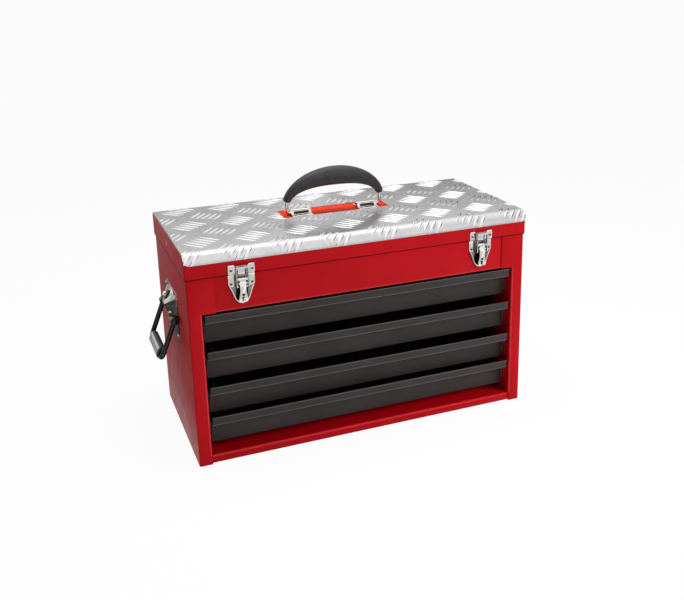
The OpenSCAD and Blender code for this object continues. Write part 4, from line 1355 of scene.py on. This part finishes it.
@dataclass
class Studio:
    """Camera, floor, world, lamps and cards, in metres.

    Attributes:
        camera_at: The camera's place.
        azimuth: How far it stands round to the box's right, in degrees.
        elevation: How far it looks down, in degrees.
        roll: Its roll, in degrees.
        sensor: Width of its sensor, in millimetres.
        lens: Its focal length, in millimetres.
        shift: Its shift, in widths of the sensor.
        near: Where its view starts.
        world_light: Strength of the world's light on the box.
        floor_side: Length of the floor's sides.
        floor_white: The floor's grey under light, 1 for white.
        floor_glow: Share of plain white in the floor to the camera and in mirrors.
        lamps: The lamps.
        cards: The cards.
    """

    camera_at: Point = (-0.44387, -1.24495, 0.67323)
    azimuth: float = -21.884
    elevation: float = 16.562
    roll: float = -0.967
    sensor: float = 36
    lens: float = 46.60
    shift: tuple[float, float] = (-0.0418, -0.0995)
    near: float = 0.01
    world_light: float = 0.29
    floor_side: float = 80
    floor_white: float = 0.86
    floor_glow: float = 0.95
    lamps: tuple[Lamp, ...] = (
        Lamp("key", (1.1, -1.15, 0.8), (0.08, -0.12, 0.12), (0.7, 0.7), 15.5),
        Lamp("fill", (-1.8, -1.0, 0.9), (0, 0, 0.15), (1.0, 1.0), 0.5),
        Lamp("overhead", (0.0, 0.3, 1.9), (0, 0, 0.3), (1.6, 1.0), 6.0, mirrored=True),
        Lamp("top", (0.0, 0.0, 1.2), (0, 0, 0.3), (0.6, 0.4), 9.0),
    )
    cards: tuple[Card, ...] = (
        Card("card_back_left", (0.0, 3.0, 0.9), (0, 0, 0.32), (1.7, 1.3), 0.38),
        Card("card_far_left", (-1.75, 2.6, 0.66), (0, 0, 0.25), (2.3, 1.3), 1.0),
        Card("card_back_right", (2.4, 2.6, 0.85), (0, 0, 0.32), (3.2, 1.2), 0.07),
        Card("card_left", (-2.2, -0.6, 1.1), (0, 0, 0.2), (3.4, 2.2), 0.05),
        Card("card_right", (2.4, -0.6, 1.1), (0, 0, 0.2), (3.0, 2.0), 0.2),
        Card("card_low", (0.4, -1.7, 0.003), (0.4, -1.7, 1.0), (4.4, 2.4), 0.64),
        Card("card_low_back", (-0.9, 0.7, 0.003), (-0.9, 0.7, 1.0), (1.24, 1.7), 0.3),
    )

    def add_camera(self) -> None:
        """Adds the camera at the photograph's viewpoint."""
        a, e, r = (math.radians(v) for v in (self.azimuth, self.elevation, self.roll))
        back = Vector((math.sin(a) * math.cos(e), -math.cos(a) * math.cos(e), math.sin(e)))
        right = Vector((0, 0, 1)).cross(back).normalized()
        up = back.cross(right)
        c, s = math.cos(r), math.sin(r)
        right, up = right * c + up * s, up * c - right * s
        data = bpy.data.cameras.new("camera")
        data.sensor_width = self.sensor
        data.lens = self.lens
        data.shift_x, data.shift_y = self.shift
        data.clip_start = self.near
        camera = bpy.data.objects.new("camera", data)
        turn = Matrix((right, up, back)).transposed().to_4x4()
        camera.matrix_world = Matrix.Translation(self.camera_at) @ turn
        bpy.context.scene.collection.objects.link(camera)
        bpy.context.scene.camera = camera

    def add_world(self) -> None:
        """White to the camera and in mirrors, and a plainer light on the box."""
        world = bpy.data.worlds.new("studio")
        bpy.context.scene.world = world
        world.use_nodes = True
        tree = world.node_tree
        tree.nodes.clear()
        out = tree.nodes.new("ShaderNodeOutputWorld")
        mix = tree.nodes.new("ShaderNodeMixShader")
        tree.links.new(self.seen_rays(tree), mix.inputs[0])
        for socket, strength in ((1, self.world_light), (2, 1.0)):
            white = tree.nodes.new("ShaderNodeBackground")
            white.inputs["Color"].default_value = (1, 1, 1, 1)
            white.inputs["Strength"].default_value = strength
            tree.links.new(white.outputs[0], mix.inputs[socket])
        tree.links.new(mix.outputs[0], out.inputs["Surface"])

    def seen_rays(self, tree: bpy.types.NodeTree) -> Socket:
        """One for camera, mirror and glass rays, else none.

        Args:
            tree: The tree to add the nodes to.

        Returns:
            The output.
        """
        path = tree.nodes.new("ShaderNodeLightPath")
        total = path.outputs["Is Camera Ray"]
        for name in ("Is Glossy Ray", "Is Transmission Ray"):
            add = tree.nodes.new("ShaderNodeMath")
            add.operation = "MAXIMUM"
            tree.links.new(total, add.inputs[0])
            tree.links.new(path.outputs[name], add.inputs[1])
            total = add.outputs[0]
        return total

    def add_floor(self) -> None:
        """Adds a pale floor, near white to the camera and in mirrors, that keeps a soft shadow."""
        floor, tree, surface = add_rectangle("floor", (self.floor_side, self.floor_side))
        mix = tree.nodes.new("ShaderNodeMixShader")
        matte = tree.nodes.new("ShaderNodeBsdfDiffuse")
        matte.inputs["Color"].default_value = (self.floor_white, self.floor_white, self.floor_white, 1)
        glow = tree.nodes.new("ShaderNodeEmission")
        glow.inputs["Strength"].default_value = 1.0
        share = tree.nodes.new("ShaderNodeMath")
        share.operation = "MULTIPLY"
        share.inputs[1].default_value = self.floor_glow
        tree.links.new(self.seen_rays(tree), share.inputs[0])
        tree.links.new(share.outputs[0], mix.inputs[0])
        tree.links.new(matte.outputs[0], mix.inputs[1])
        tree.links.new(glow.outputs[0], mix.inputs[2])
        tree.links.new(mix.outputs[0], surface)

    def add_lamp(self, lamp: Lamp) -> None:
        """Adds one lamp.

        Args:
            lamp: The lamp.
        """
        data = bpy.data.lights.new(lamp.name, "AREA")
        data.shape = "RECTANGLE"
        data.size, data.size_y = lamp.size
        data.energy = lamp.watts
        made = bpy.data.objects.new(lamp.name, data)
        made.visible_glossy = lamp.mirrored
        face_towards(made, lamp.at, lamp.aim)
        bpy.context.scene.collection.objects.link(made)

    def add_card(self, card: Card) -> None:
        """Adds one card.

        Args:
            card: The card.
        """
        made, tree, surface = add_rectangle(card.name, card.size)
        face_towards(made, card.at, card.aim)
        made.visible_camera = made.visible_diffuse = made.visible_shadow = False
        glow = tree.nodes.new("ShaderNodeEmission")
        glow.inputs["Color"].default_value = (card.tone, card.tone, card.tone, 1)
        tree.links.new(glow.outputs[0], surface)

    def build(self) -> None:
        """Builds the studio."""
        bpy.context.scene.view_settings.view_transform = "Standard"
        self.add_camera()
        self.add_world()
        self.add_floor()
        for lamp in self.lamps:
            self.add_lamp(lamp)
        for card in self.cards:
            self.add_card(card)


# ------------------------------------------------------------------ whole box


@dataclass
class SheetMetal:
    """The painted sheets: their bends and cut edges get a painted highlight, a lighter and glossier paint
    than their flats.

    Attributes:
        ease: Width of the rounding on edges.
        shadow: Height of the line of painted shade along the lid's lower edge.
        wall: Distance from the box's middle over which a face may be on an upright corner.
        corner: How far behind the front such a corner ends.
        level: A face is on the lid's top, which gets painted light, if its normal's Z is over this.
        panels: The cabinet's painted sheets.
    """

    ease: float = 0.3
    shadow: float = 1.1
    wall: float = 257.0
    corner: float = 3.0
    level: float = 0.9
    panels: tuple[str, ...] = ("left_side_panel", "right_side_panel", "header_panel", "bottom_tray",
                               "back_panel")

    def build(self) -> None:
        """Builds the panels, the lid and the drawers' fronts."""
        for node in self.panels:
            self.add_sheet(node, "cabinet", [Finish.RED, Finish.RED_EDGE])
        self.add_sheet("lid_shell", "lid",
                       [Finish.RED, Finish.RED_EDGE, Finish.SEAM, Finish.LID_TOP])
        for number in DRAWERS:
            self.add_sheet(f"drawer_{number}_front", f"drawer_{number}",
                           [Finish.CHARCOAL, Finish.CHARCOAL_EDGE])

    def is_corner(self, middle: Vector, front: float) -> bool:
        """Whether a face lies on an outer upright corner, which gets no painted highlight and stays as the
        flats beside it.
        """
        return abs(middle.x) > self.wall and middle.y < front + self.corner

    def add_sheet(self, node: str, body: str, finishes: Sequence[Finish]) -> None:
        """Adds one sheet.

        Args:
            node: The node that it replaces.
            body: The body that it rides on.
            finishes: The finish of its flats, the painted highlight of its bends and edges, and for the lid
            the painted shade along its lower edge and the painted light on its top.
        """
        mesh = eased(node, self.ease)
        front = min(corner.co.y for corner in mesh.verts) / MM
        low = min(corner.co.z for corner in mesh.verts) / MM + self.shadow
        # Bends and edges get the painted highlight, except on the outer upright corners
        coat(mesh, 1, lambda middle, normal: is_bent(normal) and not self.is_corner(middle, front))
        if Finish.LID_TOP in finishes:
            split(mesh, UP, low)
            # Painted shade along the lid's lower edge
            coat(mesh, 2, lambda middle, normal: middle.z < low)
            # The lid's upward faces get painted light
            coat(mesh, 3, lambda middle, normal: normal.z > self.level)
        make_piece(f"{node}_sheet", mesh, finishes, body, node)


@dataclass(frozen=True)
class CarriedSolids:
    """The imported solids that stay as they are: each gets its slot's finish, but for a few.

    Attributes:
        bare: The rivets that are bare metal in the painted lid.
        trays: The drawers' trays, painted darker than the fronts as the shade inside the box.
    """

    bare: str = "lid_side_rivets"
    trays: tuple[str, ...] = tuple(f"drawer_{number}_tray" for number in DRAWERS)

    def finish_of(self, node: str, slot: str) -> Finish:
        """Picks a solid's finish.

        Args:
            node: The solid's node.
            slot: Its slot in the record.

        Returns:
            The finish.
        """
        if node == self.bare:
            return Finish.ZINC
        # The trays get painted shade
        return Finish.TRAY if node in self.trays else SLOT_FINISH[slot]

    def dress(self, subparts: Iterable[dict]) -> None:
        """Gives every solid its finish.

        Args:
            subparts: The record's list of nodes and slots.
        """
        for part in subparts:
            materials = SOLIDS[part["node"]].data.materials
            materials.clear()
            materials.append(self.finish_of(part["node"], part["material_slot"]).material)


def main() -> None:
    """Builds the looks in order."""
    logging.basicConfig(level=logging.INFO, format="%(name)s: %(message)s")
    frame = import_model()
    SOLIDS.update(frame["nodes"])
    hinges = [joint for joint in frame["joints"] if joint["type"] == "hinge"]
    PIVOTS.update({hinge["name"]: millimetres(hinge["pos_m"]) for hinge in hinges})
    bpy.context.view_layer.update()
    Studio().build()
    CarriedSolids().dress(frame["record"]["subparts"])
    SheetMetal().build()
    TreadPlate().build()
    TopHandle().build()
    Latches().build()
    SideHandles().build()


if __name__ == "__main__":
    main()
